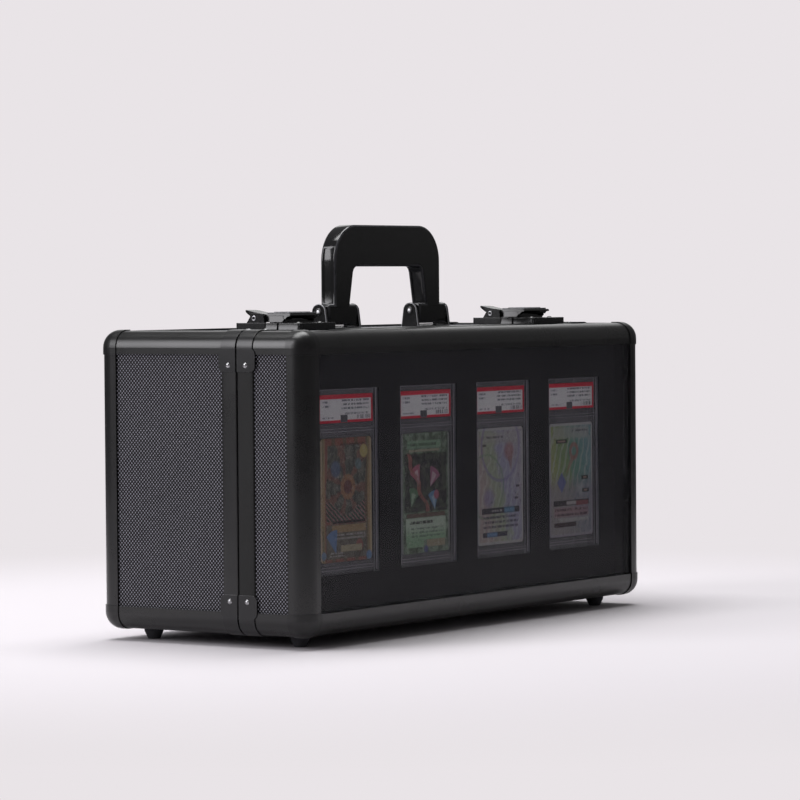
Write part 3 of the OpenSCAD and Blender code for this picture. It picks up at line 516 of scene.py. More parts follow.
def soften(bm, radius, segments=2, angle=0.5, pick=None):
    bmesh.ops.recalc_face_normals(bm, faces=bm.faces)
    layer = bm.faces.layers.float.get("wearAndSheen") or bm.faces.layers.float.new("wearAndSheen")
    edges = [e for e in bm.edges if e.is_manifold and e.calc_face_angle() > angle
             and (pick is None or pick(e))]
    made = bmesh.ops.bevel(bm, geom=edges, offset=radius / 1000, offset_type="OFFSET",
                           segments=segments, profile=0.5, affect="EDGES",
                           clamp_overlap=True, material=-1)
    for face in made["faces"]:
        face[layer] = 1.0
    return bm


def turned(profile, place, towards, steps=32):  # a turned form: (radius, height) pairs
    bm = bmesh.new()
    verts = [bm.verts.new(metres(r, 0, h)) for r, h in profile]
    edges = [bm.edges.new(pair) for pair in zip(verts, verts[1:])]
    bmesh.ops.spin(bm, geom=verts + edges, cent=(0, 0, 0), axis=(0, 0, 1), dvec=(0, 0, 0),
                   angle=2 * math.pi, steps=steps, use_merge=True)
    bmesh.ops.remove_doubles(bm, verts=bm.verts, dist=1e-6)
    bmesh.ops.recalc_face_normals(bm, faces=bm.faces)
    turn = Vector((0, 0, 1)).rotation_difference(Vector(towards)).to_matrix().to_4x4()
    bmesh.ops.transform(bm, matrix=Matrix.Translation(metres(*place)) @ turn, verts=bm.verts)
    return bm


def meshOf(bm, name):
    mesh = bpy.data.meshes.new(name)
    bm.to_mesh(mesh)
    bm.free()
    return mesh


def placed(name, data):
    made = bpy.data.objects.new(name, data)
    bpy.context.scene.collection.objects.link(made)
    return made


def merged(parts):  # several bmeshes as one
    whole = bmesh.new()
    whole.faces.layers.float.new("wearAndSheen")
    for part in parts:
        mesh = meshOf(part, "part")
        whole.from_mesh(mesh)
        bpy.data.meshes.remove(mesh)
    return whole


def piece(bm, name, finish, body, nodes=(), angle=0.6, even=True):
    for face in bm.faces:
        face.smooth = True
    for edge in bm.edges:
        if edge.is_manifold and edge.calc_face_angle() > angle:
            edge.smooth = False
    made = placed(name, meshOf(bm, name))
    made.data.materials.append(finish)
    if even:
        made.modifiers.new("evenNormals", "WEIGHTED_NORMAL").keep_sharp = True
    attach(made, body)
    if nodes:
        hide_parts(*nodes)
    return made


def dress(finish, *names):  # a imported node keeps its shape, and gets a finish
    for name in names:
        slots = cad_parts[name].data.materials
        slots.clear()
        slots.append(finish)


# ---- the case, in millimetres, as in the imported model

case = {"halfWidth": 227, "low": 8.5, "high": 222.5, "part": -32.5,
        "edgeRadius": 12, "gap": 0.2}

metalBlack = satinBlack("anodisedBlack", tone("#0b0b0c"), 0.22, 0.5, specular=0.6)
lidMetal = satinBlack("anodisedBlackLid", tone("#101010"), 0.38, 0.5, specular=0.3)
cornerBlack = satinBlack("cornerBlack", tone("#0c0c0d"), 0.27, 0.4)
bracketBlack = satinBlack("bracketBlack", tone("#121214"), 0.24, 0.4, 0.4)
hardwareBlack = satinBlack("hardwareBlack", tone("#101011"), 0.17, 0.4, 0.5)
# painted highlight: a pale rim on almost all of the ears' softened edges
earBlack = satinBlack("earBlack", tone("#0e0e0f"), 0.12, 0.4, 1.0, 0.35, wearAndSheenSpread=(0.15, 0.4),
                      wearAndSheenTone=(0.42, 0.42, 0.44))
# painted reflection: the latch covers are a lighter grey than the other blacks, their softened
# edges lighter still
coverBlack = satinBlack("coverBlack", tone("#2c2c2f"), 0.26, 0.4, 0.9, wearAndSheenSpread=(0.3, 0.5),
                        wearAndSheenTone=(0.2, 0.2, 0.22))
rivetMetal = brightMetal("rivetMetal", (0.42, 0.42, 0.43), 0.2)
pinMetal = brightMetal("pinMetal", (0.5, 0.5, 0.52), 0.24)
darkMetal = brightMetal("darkMetal", (0.10, 0.10, 0.11), 0.3)
headMetal = brightMetal("headMetal", (0.8, 0.8, 0.82), 0.4)
windowFinish = smokedAcrylic()
boxFinish = boxPlastic()
softFoam = foamFinish("cutFoam", tone("#2c2c2f"))
matFoam = foamFinish("matFoam", tone("#0a0a0b"), 0.6, 0.12)
rubber = rubberFinish()
handleFinish = glossyPlastic()

dress(dottedPanel("dotsSide", 1, 2), "base_side_panels", "lid_side_panels")
dress(dottedPanel("dotsTop", 0, 1), "base_top_panel", "base_bottom_panel", "lid_top_panel",
      "lid_bottom_panel")
dress(dottedPanel("dotsBack", 0, 2), "back_panel")
dress(metalBlack, "rear_edge_extrusions", "base_depth_extrusions", "front_edge_extrusions",
      "lid_depth_extrusions")
dress(cornerBlack, "rear_ball_corners", "front_ball_corners")
dress(hardwareBlack, "hinge_base_leaves", "hinge_lid_leaves")
dress(darkMetal, "hinge_pins")
dress(windowFinish, "window_pane")
dress(labelFinish(), "slab_labels")
dress(cardFinish("cardGold", 1, paintGold, 0.57), "card_1")
dress(cardFinish("cardGreen", 2, paintGreen, 0.66), "card_2")
dress(cardFinish("cardPastel", 3, paintPastel, 0.6), "card_3")
dress(cardFinish("cardMint", 4, paintMint, 0.6), "card_4")
print("packed nodes dressed")


# ---- handle: one U with rounded shoulders, its hubs on the pins

handle = {"half": 69.5, "rise": 64.6, "thick": 13.5, "openTop": 45, "openFoot": 50.5,
          "openRise": 33.6, "shoulder": 27, "hubIn": 41.75, "hubOut": 77.85, "hubTop": 5.4,
          "hubDrop": 9.6, "pin": 234.1, "round": 3.2, "bar": 13.5, "innerRound": 4.5,
          "hubRound": 1.5, "flatInset": 0.4}


def makeHandle():
    h = handle
    right = [(h["hubIn"], -h["hubDrop"]), (h["hubOut"], -h["hubDrop"]), (h["hubOut"], h["hubTop"]),
             (h["half"], h["hubTop"]), (h["half"], h["rise"])]
    left = [(-a, b) for a, b in reversed(right)]
    inner = [(-h["hubIn"], h["hubTop"]), (-h["openFoot"], h["hubTop"]),
             (-h["openTop"], h["openRise"]), (h["openTop"], h["openRise"]),
             (h["openFoot"], h["hubTop"]), (h["hubIn"], h["hubTop"])]
    points = [(a, b + h["pin"]) for a, b in right + left + inner]
    corners = {4: h["shoulder"], 5: h["shoulder"], 12: h["innerRound"], 13: h["innerRound"],
               2: h["hubRound"], 7: h["hubRound"]}
    bm = prism(points, "y", -h["thick"] / 2, h["thick"], corners)
    for level in (h["rise"] - h["shoulder"] - 9, 16):  # the sheen fades out below the shoulder
        cut(bm, (0, 0, h["pin"] + level), (0, 0, 1))
    soften(bm, h["round"], 4, 0.5, lambda e: abs(e.verts[0].co.y - e.verts[1].co.y) < 1e-5)
    floor, top = h["pin"] + h["hubTop"], h["pin"] + h["rise"] - h["bar"]
    for side in (-1, 1):  # a shallow channel outside and inside each leg
        for facing, low, high in ((side, h["half"] - 6, h["half"] + 1), (-side, 40, 51)):
            sunk = []
            for face in bm.faces:
                c = face.calc_center_median() * 1000
                if (face.normal.x * facing > 0.9 and abs(face.normal.y) < 0.05
                        and floor < c.z < top and low < c.x * side < high):
                    sunk.append(face)
            for thickness, depth in ((0.6, 0), (0.9, -0.5), (0.5, -0.1)):
                bmesh.ops.inset_region(bm, faces=sunk, use_boundary=True, use_even_offset=True,
                                       thickness=thickness / 1000, depth=depth / 1000)
    soften(bm, 0.25, 2, 0.75)
    flat = [f for f in bm.faces if abs(f.normal.y) > 0.999 and f.calc_area() > 1e-5]
    bmesh.ops.inset_region(bm, faces=flat, use_boundary=True, use_even_offset=True,
                           thickness=h["flatInset"] / 1000, depth=0)
    piece(bm, "handleBow", handleFinish, "handle", ["handle_grip"], even=False)


makeHandle()

bracket = {"x": 59.8, "halfWidth": 22.25, "ear": 2.2, "pinRise": 11.6, "earRadius": 6.2,
           "foot": 8, "sink": 1.4}


def makeHandleBrackets():
    b, top, parts = bracket, case["high"], []
    ear = [(-b["foot"], -b["sink"]), (b["foot"], -b["sink"]), (b["earRadius"], b["pinRise"]),
           (b["earRadius"], b["pinRise"] + b["earRadius"]),
           (-b["earRadius"], b["pinRise"] + b["earRadius"]), (-b["earRadius"], b["pinRise"])]
    ear = [(a, c + top) for a, c in ear]
    for side in (-1, 1):
        for end in (-1, 1):
            start = side * b["x"] + (b["halfWidth"] - b["ear"] if end > 0 else -b["halfWidth"])
            bm = prism(ear, "x", start, b["ear"], {3: 6.0, 4: 6.0})
            parts.append(soften(bm, 0.6, 3))
        bm = block((side * b["x"] - b["halfWidth"] + 0.5, -b["foot"], top - b["sink"]),
                   (side * b["x"] + b["halfWidth"] - 0.5, b["foot"], top + 0.4))
        parts.append(soften(bm, 0.2, 2))
    piece(merged(parts), "handleBrackets", earBlack, "base",
          ["handle_brackets"])


makeHandleBrackets()


def makeHandlePins():
    b, pins, rings = bracket, [], []
    height = case["high"] + b["pinRise"]
    for side in (-1, 1):
        for end in (-1, 1):
            place = (side * b["x"] + end * b["halfWidth"], 0, height)
            dome = [(0, 1.0), (0.9, 0.95), (1.5, 0.7), (1.8, 0.2), (1.8, -4.2), (0, -4.2)]
            pins.append(turned(dome, place, (end, 0, 0), 28))
            ring = [(1.85, -0.2), (3.0, -0.2), (3.0, 0.2), (2.75, 0.45), (2.3, 0.5), (1.85, 0.2),
                    (1.85, -0.2)]
            rings.append(turned(ring, place, (end, 0, 0), 32))
    piece(merged(pins), "handlePins", headMetal, "base", ["handle_pins"])
    piece(merged(rings), "handlePinRings", hardwareBlack, "base")


makeHandlePins()
print("handle made")


# ---- latches: a rear plate with ears, a rocking arm with its cover, and a keeper on the lid

latch = {"x": 155, "halfWidth": 23, "plate": 5, "length": 37.4, "keeper": 20, "pivotY": -11.2,
         "pivotZ": 230.8, "arm": 19.2, "ear": 2.4, "armTop": 3.1, "reach": 29.2, "cover": 21,
         "recess": 11.3, "tail": 22, "tailWidth": 14}


def drafted(bm, x, half, level, draft=0.6):  # the sides' lower part leans in
    cut(bm, (0, 0, level + 1), (0, 0, 1))
    for vert in bm.verts:
        if vert.co.z * 1000 > level:
            vert.co.x = (x + (vert.co.x * 1000 - x) * (1 - draft / half)) / 1000
    return bm


def makeLatchPlates():
    l, top, parts = latch, case["high"], []
    start = case["part"] + case["gap"] + 0.3
    inside = l["arm"] + 0.4
    for side in (-1, 1):
        x = side * l["x"]
        half, far = l["halfWidth"], start + l["length"]
        bm = prism(rect(x - half, start, x + half, start + l["recess"]), "z", top, l["plate"])
        parts.append(soften(drafted(bm, x, half, top + 1.2), 0.4, 3))
        for end in (-1, 1):
            a, b = sorted((x + end * inside, x + end * half))
            corner = {2: 3.2} if end > 0 else {3: 3.2}
            first = start + l["recess"] - 1
            bm = prism(rect(a, first, b, far), "z", top, l["plate"], corner)
            parts.append(soften(bm, 0.4, 2))
            ear = [(-9.4, -4.2), (7.2, -4.2), (3.6, 1.0), (3.6, 3.6), (-8.6, 3.6), (-8.6, 0.6)]
            ear = [(l["pivotY"] + a, l["pivotZ"] + b) for a, b in ear]
            low = x + end * inside if end > 0 else x - inside - l["ear"]
            bm = prism(ear, "x", low, l["ear"], {3: 3.4, 4: 3.1})
            parts.append(soften(bm, 0.35, 2))
        parts.append(block((x - inside - 0.2, start + 10, top - 1.4),
                           (x + inside + 0.2, far - 4, top + 1.2)))
    piece(merged(parts), "latchPlates", hardwareBlack, "base",
          ["latch_base_plates"])


def makeLatchPins():
    l, rings, cores = latch, [], []
    reach = l["arm"] + 0.4 + l["ear"]
    for side in (-1, 1):
        for end in (-1, 1):
            place = (side * l["x"] + end * reach, l["pivotY"], l["pivotZ"])
            ring = [(0.95, -4.5), (0.95, 0.25), (1.25, 0.45), (1.6, 0.45), (1.95, 0.25), (1.95, 0),
                    (1.5, 0), (1.5, -4.5), (0.95, -4.5)]
            rings.append(turned(ring, place, (end, 0, 0), 28))
            core = [(0, -0.5), (0.6, -0.55), (0.9, -0.7), (0.9, -4.4), (0, -4.4)]
            cores.append(turned(core, place, (end, 0, 0), 20))
    piece(merged(rings), "latchPinRings", pinMetal, "base", ["latch_pins"])
    piece(merged(cores), "latchPinCores", handleFinish, "base")


def curveAt(table, a):  # a value read from a table of points
    for (a0, b0), (a1, b1) in zip(table, table[1:]):
        if a <= a1:
            return b0 + (b1 - b0) * max(a - a0, 0) / (a1 - a0)
    return table[-1][1]


def makeTail(x):  # a curled thumb tongue with a round end
    l, y, z = latch, latch["pivotY"], latch["pivotZ"]
    half, top = l["tailWidth"] / 2, l["armTop"]
    over = [(2.4, top - 0.2), (7, top + 0.6), (13, top + 1.7), (17, top + 2.6), (22, top + 2.8)]
    under = [(2.4, 1.0), (6, -1.0), (8.6, -1.0), (13.5, 0.8), (18, 3.5), (22, 5.5)]
    bm = bmesh.new()
    verts = [bm.verts.new(metres(x + a, y + b, z)) for a, b in rect(-half, 2.4, half, l["tail"])]
    bm.faces.new(verts)
    roundCorners(bm, verts[2:], half - 0.1, 8)
    for b in range(4, l["tail"], 2):
        cut(bm, (0, y + b, 0), (0, 1, 0))
    lower = set(drawnOut(bm, (0, 0, 0)))
    for vert in bm.verts:
        table = under if vert in lower else over
        vert.co.z = (z + curveAt(table, vert.co.y * 1000 - y)) / 1000
    return soften(bm, 0.3, 2, 0.7)


def leaned(bm, x, low, rate=0.2):  # both sides lean in above a level
    for vert in bm.verts:
        rise = vert.co.z * 1000 - low
        if rise > 0 and abs(vert.co.x * 1000 - x) > 12:
            vert.co.x -= math.copysign(rate * rise / 1000, vert.co.x * 1000 - x)
    return bm


def makeLatchArm(side, name, body, nodes):
    l, x = latch, side * latch["x"]
    y, z, top, back = l["pivotY"], l["pivotZ"], latch["armTop"], -latch["reach"]
    hook = case["high"] + l["plate"] + 2.5 + 0.4 - z
    cheekLow = case["high"] + l["plate"] + 0.45
    arm = [(3.4, top - 0.7), (2.7, top), (back + 0.7, top), (back, top - 0.6), (back, top - 1.5),
           (back + 2.7, top - 2), (back + 3.8, top - 3.3), (back + 4, hook), (back + 5.8, hook),
           (back + 6.8, top - 1.6), (-4, top - 1.6), (-3, -2.0), (6.4, -3.2), (7.3, -2.6),
           (6.6, 0.2)]
    bm = prism([(a + y, b + z) for a, b in arm], "x", x - l["arm"], 2 * l["arm"],
               {3: 0.5, 4: 0.5, 12: 0.6})
    parts = [soften(leaned(bm, x, cheekLow), 0.3, 2, 0.7), makeTail(x)]
    for end in (-1, 1):
        edge = sorted((x + end * (l["arm"] - 1.6), x + end * l["arm"]))
        cheek = [(y - 24, z + top - 0.8), (y - 24, cheekLow + 1.5), (y - 22.5, cheekLow),
                 (y - 3.4, cheekLow), (y - 3.4, z + top - 0.8)]
        cheek = leaned(prism(cheek, "x", edge[0], 1.6), x, cheekLow)
        parts.append(soften(cheek, 0.3, 2))
    piece(merged(parts), name + "Arm", hardwareBlack, body, [nodes[0]])

    front, width = y + back + 1.2, l["arm"] - 2.5
    plate = rect(x - width, front, x + width, front + l["cover"])
    bm = prism(plate, "z", z + top, 1.0, {0: 1.6, 1: 1.6, 2: 1.6, 3: 1.6})
    parts = [soften(leaned(bm, x, z + top, 0.3), 0.3, 2)]
    for i in range(4):
        rib = front + 3.5 + i * 4
        bm = block((x - width + 3.5, rib, z + top + 0.6),
                   (x + width - 3.5, rib + 1.5, z + top + 1.5))
        parts.append(soften(bm, 0.45, 3))
    piece(merged(parts), name + "Cover", coverBlack, body, [nodes[1]])


def makeKeepers():
    l, top, parts = latch, case["high"], []
    start = case["part"] - case["gap"] - 0.3
    for side in (-1, 1):
        x, half, far = side * l["x"], l["halfWidth"], start - l["keeper"]
        bm = prism(rect(x - half, far, x + half, start), "z", top, l["plate"], {0: 4, 1: 4})
        parts.append(soften(drafted(bm, x, half, top + 1.2), 0.4, 3))
        plate = top + l["plate"]
        step = [(start - 3.7, plate - 1), (start - 1.7, plate - 1), (start - 1.7, plate + 0.3),
                (l["pivotY"] - 20, plate + 0.3), (l["pivotY"] - 20, plate + 2.5),
                (l["pivotY"] - 21.6, plate + 2.5), (l["pivotY"] - 21.6, plate + 1.3),
                (start - 3.7, plate + 1.3)]
        bm = prism(step, "x", x - 14, 28)
        parts.append(soften(bm, 0.25, 2))
    piece(merged(parts), "keeperPlates", hardwareBlack, "lid", ["keeper_plates"])


makeLatchPlates()
makeLatchPins()
makeKeepers()
makeLatchArm(-1, "leftLatch", "latch_left", ["latch_arm_left", "latch_cover_left"])
makeLatchArm(1, "rightLatch", "latch_right", ["latch_arm_right", "latch_cover_right"])
print("latches made")


# ---- rim brackets: a strap round each corner of each rim, with rounded tabs

strap = {"thick": 0.8, "reach": 28.7, "baseWidth": 15.3, "lidWidth": 16.2, "corner": 4.0,
         "swell": (15.2, 14.2, 13.6, 13.0), "ease": 3.2}


def makeRimBrackets(name, body, start, width, narrow, node):
    s, parts, r = strap, [], case["edgeRadius"]
    for side in (-1, 1):
        for high in (0, 1):
            bm = bmesh.new()
            line = [bm.verts.new(metres(0, start, a)) for a in (s["reach"], *s["swell"], r)]
            for pair in zip(line, line[1:]):
                bm.edges.new(pair)
            made = bmesh.ops.spin(bm, geom=[line[-1]], cent=metres(r, start, r), axis=(0, 1, 0),
                                  dvec=(0, 0, 0), angle=-math.pi / 2, steps=14)
            line = vertsOf(made["geom_last"])[:1]
            line += [bm.verts.new(metres(a, start, 0)) for a in (*s["swell"][::-1], s["reach"])]
            for pair in zip(line, line[1:]):
                bm.edges.new(pair)
            tops = vertsOf(bmesh.ops.extrude_edge_only(bm, edges=bm.edges[:])["geom"])
            for vert in tops:
                share = min(max((max(vert.co.x, vert.co.z) * 1000 - r) / s["ease"], 0), 1)
                share = share * share * (3 - 2 * share)
                vert.co.y += (narrow + (width - narrow) * share) / 1000
            roundCorners(bm, [v for v in tops if len(v.link_edges) == 2], s["corner"], 5)
            bmesh.ops.recalc_face_normals(bm, faces=bm.faces)
            centre = metres(r, start, r)
            if sum((f.calc_center_median() - centre).dot(f.normal) for f in bm.faces) < 0:
                bmesh.ops.reverse_faces(bm, faces=bm.faces)
            bmesh.ops.solidify(bm, geom=bm.faces[:], thickness=-s["thick"] / 1000)
            soften(bm, 0.22, 2, 0.8)
            turn = Matrix.Diagonal((-side, 1, -1 if high else 1, 1))
            shift = metres(side * case["halfWidth"], 0, case["high"] if high else case["low"])
            bmesh.ops.transform(bm, matrix=Matrix.Translation(shift) @ turn, verts=bm.verts)
            bmesh.ops.recalc_face_normals(bm, faces=bm.faces)
            parts.append(bm)
    return piece(merged(parts), name, bracketBlack, body, [node])


makeRimBrackets("baseRimStraps", "base", case["part"] + case["gap"] + 0.4,
                strap["baseWidth"] - 0.4, 12.9, "base_rim_brackets")
makeRimBrackets("lidRimStraps", "lid", case["part"] - case["gap"] - 0.4,
                0.4 - strap["lidWidth"], -13.5, "lid_rim_brackets")

rim = {"wall": 1.4, "web": 1.6, "flange": 14, "baseIn": 10.2, "lidIn": 8.3, "tongue": 3.2,
       "baseWidth": 13.5, "lidWidth": 14.1, "lip": 3.4}


def makeRims(name, finish, body, start, way, width, inward, tongue, node):
    r, c, parts = rim, case, []
    wall = r["wall"]
    section = [(1.2, 0), (0.35, 0.35), (0, 1.0), (0, width - r["lip"]), (0.25, width - 0.7),
               (0.9, width), (wall, width), (wall, r["web"]), (inward - wall, r["web"]),
               (inward - wall, r["flange"]), (inward, r["flange"]), (inward, -tongue),
               (inward - wall, -tongue), (inward - wall, 0)]
    section = [p for i, p in enumerate(section) if p != section[i - 1]]
    for side in (-1, 1):
        upright = [(side * (c["halfWidth"] - a), start + way * b) for a, b in section]
        parts.append(prism(upright, "z", c["low"] + c["edgeRadius"],
                           c["high"] - c["low"] - 2 * c["edgeRadius"]))
        level = c["high"] if side > 0 else c["low"]
        flat = [(start + way * b, level - side * a) for a, b in section]
        parts.append(prism(flat, "x", -c["halfWidth"] + c["edgeRadius"],
                           2 * (c["halfWidth"] - c["edgeRadius"])))
    for bm in parts:
        soften(bm, 0.15, 1, 0.5)
    piece(merged(parts), name, finish, body, [node])


makeRims("baseRims", metalBlack, "base", case["part"] + case["gap"], 1, rim["baseWidth"],
         rim["baseIn"], rim["tongue"], "base_rim_bars")
makeRims("lidRims", lidMetal, "lid", case["part"] - case["gap"], -1, rim["lidWidth"],
         rim["lidIn"], 0, "lid_rim_bars")

rivet = {"fromCorner": 24, "baseY": 6.9, "lidY": 7.8, "head": 1.9}


def makeRivets(name, body, y, node):
    parts = []
    r = rivet["head"]
    dome = [(0, 0.88), (r * 0.35, 0.83), (r * 0.65, 0.64), (r * 0.88, 0.34), (r, 0.0),
            (1.15, -0.05), (1.15, -1.6), (0, -1.6)]
    w, low, high, c = case["halfWidth"], case["low"], case["high"], rivet["fromCorner"]
    for side in (-1, 1):
        for top in (-1, 1):
            z = low - strap["thick"] if top < 0 else high + strap["thick"]
            flat = [(a, b * 0.5 if b > 0 else b) for a, b in dome]
            parts.append(turned(flat, (side * (w - c), y, z), (0, 0, top), 24))
            z = low + c if top < 0 else high - c
            parts.append(turned(dome, (side * (w + strap["thick"]), y, z),
                                (side, 0, 0), 24))
    piece(merged(parts), name, rivetMetal, body, [node])


makeRivets("baseRimRivets", "base", case["part"] + case["gap"] + rivet["baseY"], "base_rivets")
makeRivets("lidRimRivets", "lid", case["part"] - case["gap"] - rivet["lidY"], "lid_rivets")


def makeSmallRivets(name, x, apart, y, z, finish, body, nodes):
    dome = [(0, 0.9), (0.8, 0.82), (1.5, 0.5), (2.0, 0.0), (1.2, -0.05), (1.2, -1.2), (0, -1.2)]
    parts = [turned(dome, (side * x + end * apart, y, z), (0, 0, 1), 20)
             for side in (-1, 1) for end in (-1, 1)]
    piece(merged(parts), name, finish, body, nodes)


plateTop = case["high"] + latch["plate"]
makeSmallRivets("latchPlateRivets", latch["x"], 12, case["part"] + 8.5, plateTop, hardwareBlack,
                "base", ["latch_plate_rivets"])
makeSmallRivets("keeperRivets", latch["x"], 13, case["part"] - 11.2, plateTop, hardwareBlack,
                "lid", ["keeper_rivets"])
makeSmallRivets("handleBracketRivets", bracket["x"], 12, 0, case["high"] + 0.4, rivetMetal,
                "base", ["handle_bracket_rivets"])
print("brackets and rivets made")


# ---- feet: turned rubber with a softened sole and a screw in a recess

foot = {"x": 198.5, "y": 65}


def makeFeet(name, body, y, node):
    rubberParts, screws = [], []
    profile = [(0, 3.4), (2.4, 3.4), (2.5, 0.3), (2.8, 0), (3.9, 0), (4.4, 0.25), (4.65, 0.8),
               (6.6, 4.9), (6.9, 5.8), (7.0, 7.0), (7.0, 9.85), (0, 9.85)]
    screw = [(0, 2.0), (0.6, 2.0), (0.9, 1.5), (1.7, 1.6), (2.2, 2.1), (2.3, 3.4), (0, 3.4)]
    for side in (-1, 1):
        place = (side * foot["x"], y, 0)
        rubberParts.append(turned(profile, place, (0, 0, 1), 40))
        screws.append(turned(screw, place, (0, 0, 1), 20))
    piece(merged(rubberParts), name, rubber, body, [node])
    piece(merged(screws), name + "Screws", pinMetal, body)


makeFeet("rearFeet", "base", foot["y"], "rear_feet")
makeFeet("frontFeet", "lid", -foot["y"], "front_feet")
print("feet made")


# ---- foam: cut blocks with eased edges and a slight crown

foam = {"inset": 6.95, "front": -17.8, "back": 85.05, "floor": 8, "wall": 10.6, "end": 14,
        "divider": 5, "rows": 84.15, "bay": 99.275, "gap": 0.05}


def foamBlock(low, high, ease=1.2, crown=0.4):
    bm = block([a + crown * 0.5 for a in low], [b - crown * 0.5 for b in high])
    soften(bm, ease, 3)
    longEdges = [e for e in bm.edges if e.calc_length() > 0.012]
    bmesh.ops.subdivide_edges(bm, edges=longEdges, cuts=6, use_grid_fill=True)
    middle = metres(*[(a + b) / 2 for a, b in zip(low, high)])
    half = metres(*[(b - a) / 2 for a, b in zip(low, high)])
    bmesh.ops.recalc_face_normals(bm, faces=bm.faces)
    shifts = []
    for v in bm.verts:
        flat = [abs((v.co[i] - middle[i]) / half[i]) for i in range(3)]
        order = sorted(flat)
        bulge = (1 - order[0] ** 2) * (1 - min(order[1], 1.0) ** 2) * crown * 0.45 / 1000
        shifts.append((v, v.normal * bulge))
    for v, move in shifts:
        v.co += move
    return bm


def makeFoam():
    f, w = foam, case["halfWidth"] - foam["inset"]
    low, high = case["low"] + f["inset"], case["high"] - f["inset"]
    floor = foamBlock((-w, f["back"] - f["floor"], low), (w, f["back"], high))
    piece(floor, "foamFloorPad", softFoam, "base", ["foam_floor"])
    x, end = w - f["end"] - 0.05, f["back"] - f["floor"] - 0.05
    walls = [foamBlock((-x, f["front"], low + i * (f["wall"] + f["rows"])),
                       (x, end, low + i * (f["wall"] + f["rows"]) + f["wall"])) for i in range(3)]
    piece(merged(walls), "foamRowWalls", softFoam, "base",
                    ["foam_row_walls"])
    ends = [foamBlock((-w, f["front"], low), (-w + f["end"], end, high)),
            foamBlock((w - f["end"], f["front"], low), (w, end, high))]
    piece(merged(ends), "foamEndWalls", softFoam, "base",
                    ["foam_end_walls"])
    parts = []
    for row in range(2):
        for i in range(3):
            left = -w + f["end"] + (i + 1) * f["bay"] + i * f["divider"]
            z = low + f["wall"] + row * (f["rows"] + f["wall"])
            parts.append(foamBlock((left, f["front"] + 4, z + 0.05),
                                   (left + f["divider"], end, z + f["rows"] - 0.05), 0.9, 0.3))
    piece(merged(parts), "foamDividers", softFoam, "base",
                    ["row_dividers"])


makeFoam()


def cutSheet(low, high, holes, depth, y, ease):  # a board with square windows
    bm = bmesh.new()
    bm.faces.new([bm.verts.new(metres(a, y, b)) for a, b in rect(*low, *high)])
    for middle, half in holes:
        for i, axis in ((0, (1, 0, 0)), (1, (0, 0, 1))):
            for s in (-1, 1):
                value = middle[i] + s * half[i]
                point = (value, y, 0) if i == 0 else (0, y, value)
                cut(bm, point, axis)
    gone = []
    for face in bm.faces:
        c = face.calc_center_median() * 1000
        if any(abs(c.x - m[0]) < h[0] and abs(c.z - m[1]) < h[1] for m, h in holes):
            gone.append(face)
    bmesh.ops.delete(bm, geom=gone, context="FACES")
    drawnOut(bm, (0, depth, 0))
    return soften(bm, ease, 2, 0.8)


mat = {"front": -76.2, "lip": 1.2, "thick": 8.5, "holeHalf": (37, 66), "pocketHalf": (40.05, 68.05),
       "z": 114.7, "width": 220.05, "low": 15.45, "high": 215.55, "spacerFront": -85.05}


def makeMat():
    m, pitch = mat, cardPlace["pitch"]
    places = [((i - 1.5) * pitch, m["z"]) for i in range(4)]
    low, high = (-m["width"], m["low"]), (m["width"], m["high"])
    lip = cutSheet(low, high, [(p, m["holeHalf"]) for p in places], m["lip"], m["front"], 0.3)
    deep = cutSheet(low, high, [(p, m["pocketHalf"]) for p in places], m["thick"] - m["lip"],
                    m["front"] + m["lip"], 0.5)
    piece(merged([lip, deep]), "cardMat", matFoam, "lid",
                    ["display_mat"])
    ring = cutSheet(low, high, [((0, 115.5), (210.5, 90.5))], m["front"] - m["spacerFront"] - 0.05,
                    m["spacerFront"], 0.5)
    piece(ring, "matSpacer", matFoam, "lid", ["window_spacer"])


makeMat()
print("foam made")


# ---- card boxes: a front shell with raised frames over a flat back

cardBox = {"half": (40, 68), "front": -74.95, "split": -72.55, "back": -69.0, "corner": 3.0,
           "z": 114.7, "sideBar": 35.4,
           "bars": ((53.3, (36.4, 1.1)), (151.3, (36.4, 1.1)), (181.2, (36.4, 1.0)))}


def boxSheet(x, half, middle, start, depth, corner, ease):
    outline = rect(x - half[0], middle - half[1], x + half[0], middle + half[1])
    return soften(prism(outline, "y", start, depth, {n: corner for n in range(4)}), ease, 2)


def makeCardBoxes():
    c, fronts, backs = cardBox, [], []
    for i in range(4):
        x = (i - 1.5) * cardPlace["pitch"]
        fronts.append(boxSheet(x, c["half"], c["z"], c["front"] + 0.5, 1.4, c["corner"], 0.4))
        for middle, half in c["bars"]:
            fronts.append(boxSheet(x, half, middle, c["front"], 0.7, 0.5, 0.3))
        for side in (-1, 1):
            bar = x + side * c["sideBar"]
            bm = prism(rect(bar - 1.0, c["z"] - 64.7, bar + 1.0, c["z"] + 67.3), "y",
                       c["front"] + 0.02, 0.66)
            fronts.append(soften(bm, 0.3, 2))
        backs.append(boxSheet(x, c["half"], c["z"], c["split"] + 0.05,
                              c["back"] - c["split"] - 0.05, c["corner"], 0.5))
    piece(merged(fronts), "boxFronts", boxFinish, "lid", ["slab_fronts"])
    piece(merged(backs), "boxBacks", boxFinish, "lid", ["slab_backs"])


makeCardBoxes()
print("card boxes made")


# ---- studio: floor, world, lamps and camera

studio = {"back": tone("#e9e4e7"), "floor": tone("#dcd8dc"), "farFloor": tone("#4c4a4e"),
          "sky": 0.165, "reach": 30}


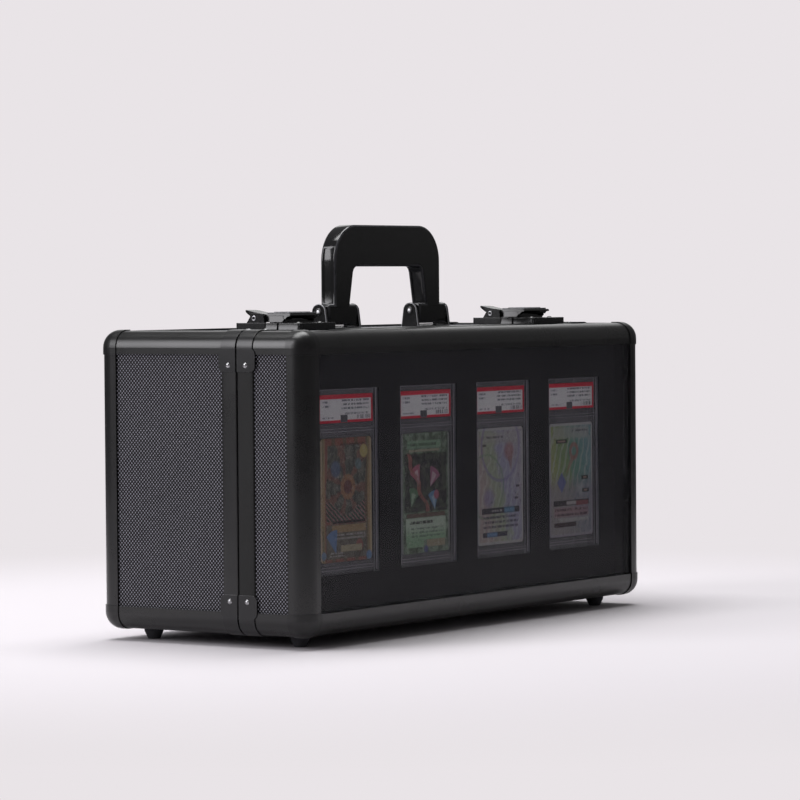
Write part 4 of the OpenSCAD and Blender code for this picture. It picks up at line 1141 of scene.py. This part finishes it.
def makeFloor():
    bm = bmesh.new()
    bmesh.ops.create_circle(bm, cap_ends=True, cap_tris=False, segments=64, radius=studio["reach"])
    made = placed("floor", meshOf(bm, "floor"))
    f = Finish("floorPaint")
    x, y, _ = f.axes()
    radius = (x * x + y * y).math("SQRT")
    far = radius.ramp(380.0, 900.0)
    colour = f.mix(f.noise(400, 2) * 0.3, studio["floor"], tone("#d3ced4"))
    # painted shade: from about 0.7 m out the floor darkens to grey, which reflections and bounced
    # light see
    colour = f.mix(radius.ramp(700.0, 1500.0), colour, studio["farFloor"])
    paint = f.node("BsdfDiffuse", {}, {"Color": colour})
    light = f.node("Emission", {}, {"Color": studio["back"], "Strength": 1.0})
    both = f.node("MixShader", {}, {0: far * f.seen(), 1: paint, 2: light})
    f.node("OutputMaterial", {}, {"Surface": both})
    made.data.materials.append(f.material)


def makeWorld():  # pale behind the case, dim as a light
    world = bpy.data.worlds.new("studio")
    bpy.context.scene.world = world
    f = Finish("studio", world)
    soft = f.node("Background", {}, {"Color": (1.0, 0.985, 0.99), "Strength": studio["sky"]})
    plain = f.node("Background", {}, {"Color": studio["back"]})
    both = f.node("MixShader", {}, {0: f.seen(), 1: soft, 2: plain})
    f.node("OutputWorld", {}, {"Surface": both})


def makeLamp(name, place, target, size, power, colour=(1, 1, 1)):
    lamp = bpy.data.lights.new(name, "AREA")
    lamp.shape = "RECTANGLE"
    lamp.size, lamp.size_y = size
    lamp.energy, lamp.color = power, colour
    made = placed(name, lamp)
    made.location = place
    made.rotation_euler = (Vector(target) - Vector(place)).to_track_quat("-Z", "Y").to_euler()
    made.visible_camera = False


view = {"place": (-2.38714, -1.64391, 0.25690), "yaw": 0.97233773, "pitch": 0.03102512,
        "roll": -0.00770226, "focal": 3844.75, "frame": 800, "sensor": 36}  # pixels, mm


def makeCamera():
    yaw, pitch, roll = view["yaw"], view["pitch"], view["roll"]
    ahead = Vector((math.sin(yaw) * math.cos(pitch), math.cos(yaw) * math.cos(pitch),
                    -math.sin(pitch)))
    right = Vector((math.cos(yaw), -math.sin(yaw), 0))
    up = right.cross(ahead)
    across = math.cos(roll) * right + math.sin(roll) * up
    over = math.cos(roll) * up - math.sin(roll) * right
    camera = placed("camera", bpy.data.cameras.new("camera"))
    camera.data.lens = view["focal"] / view["frame"] * view["sensor"]
    camera.data.clip_end = 100
    turn = Matrix((across, over, -ahead)).transposed().to_4x4()
    camera.matrix_world = Matrix.Translation(view["place"]) @ turn
    bpy.context.scene.camera = camera


makeFloor()
makeWorld()
makeLamp("sideLamp", (-2.27, 1.38, 1.3), (0, 0, 0.15), (1.1, 1.7), 39, (0.98, 0.965, 1.0))
makeLamp("topLamp", (0.1, 0.3, 2.2), (0, 0, 0.1), (2.2, 1.1), 58)
makeLamp("backLamp", (2.9, 2.0, 1.1), (0, 0, 0.15), (3.0, 2.0), 16)
makeCamera()
bpy.context.scene.view_settings.view_transform = "Standard"
print("studio made")
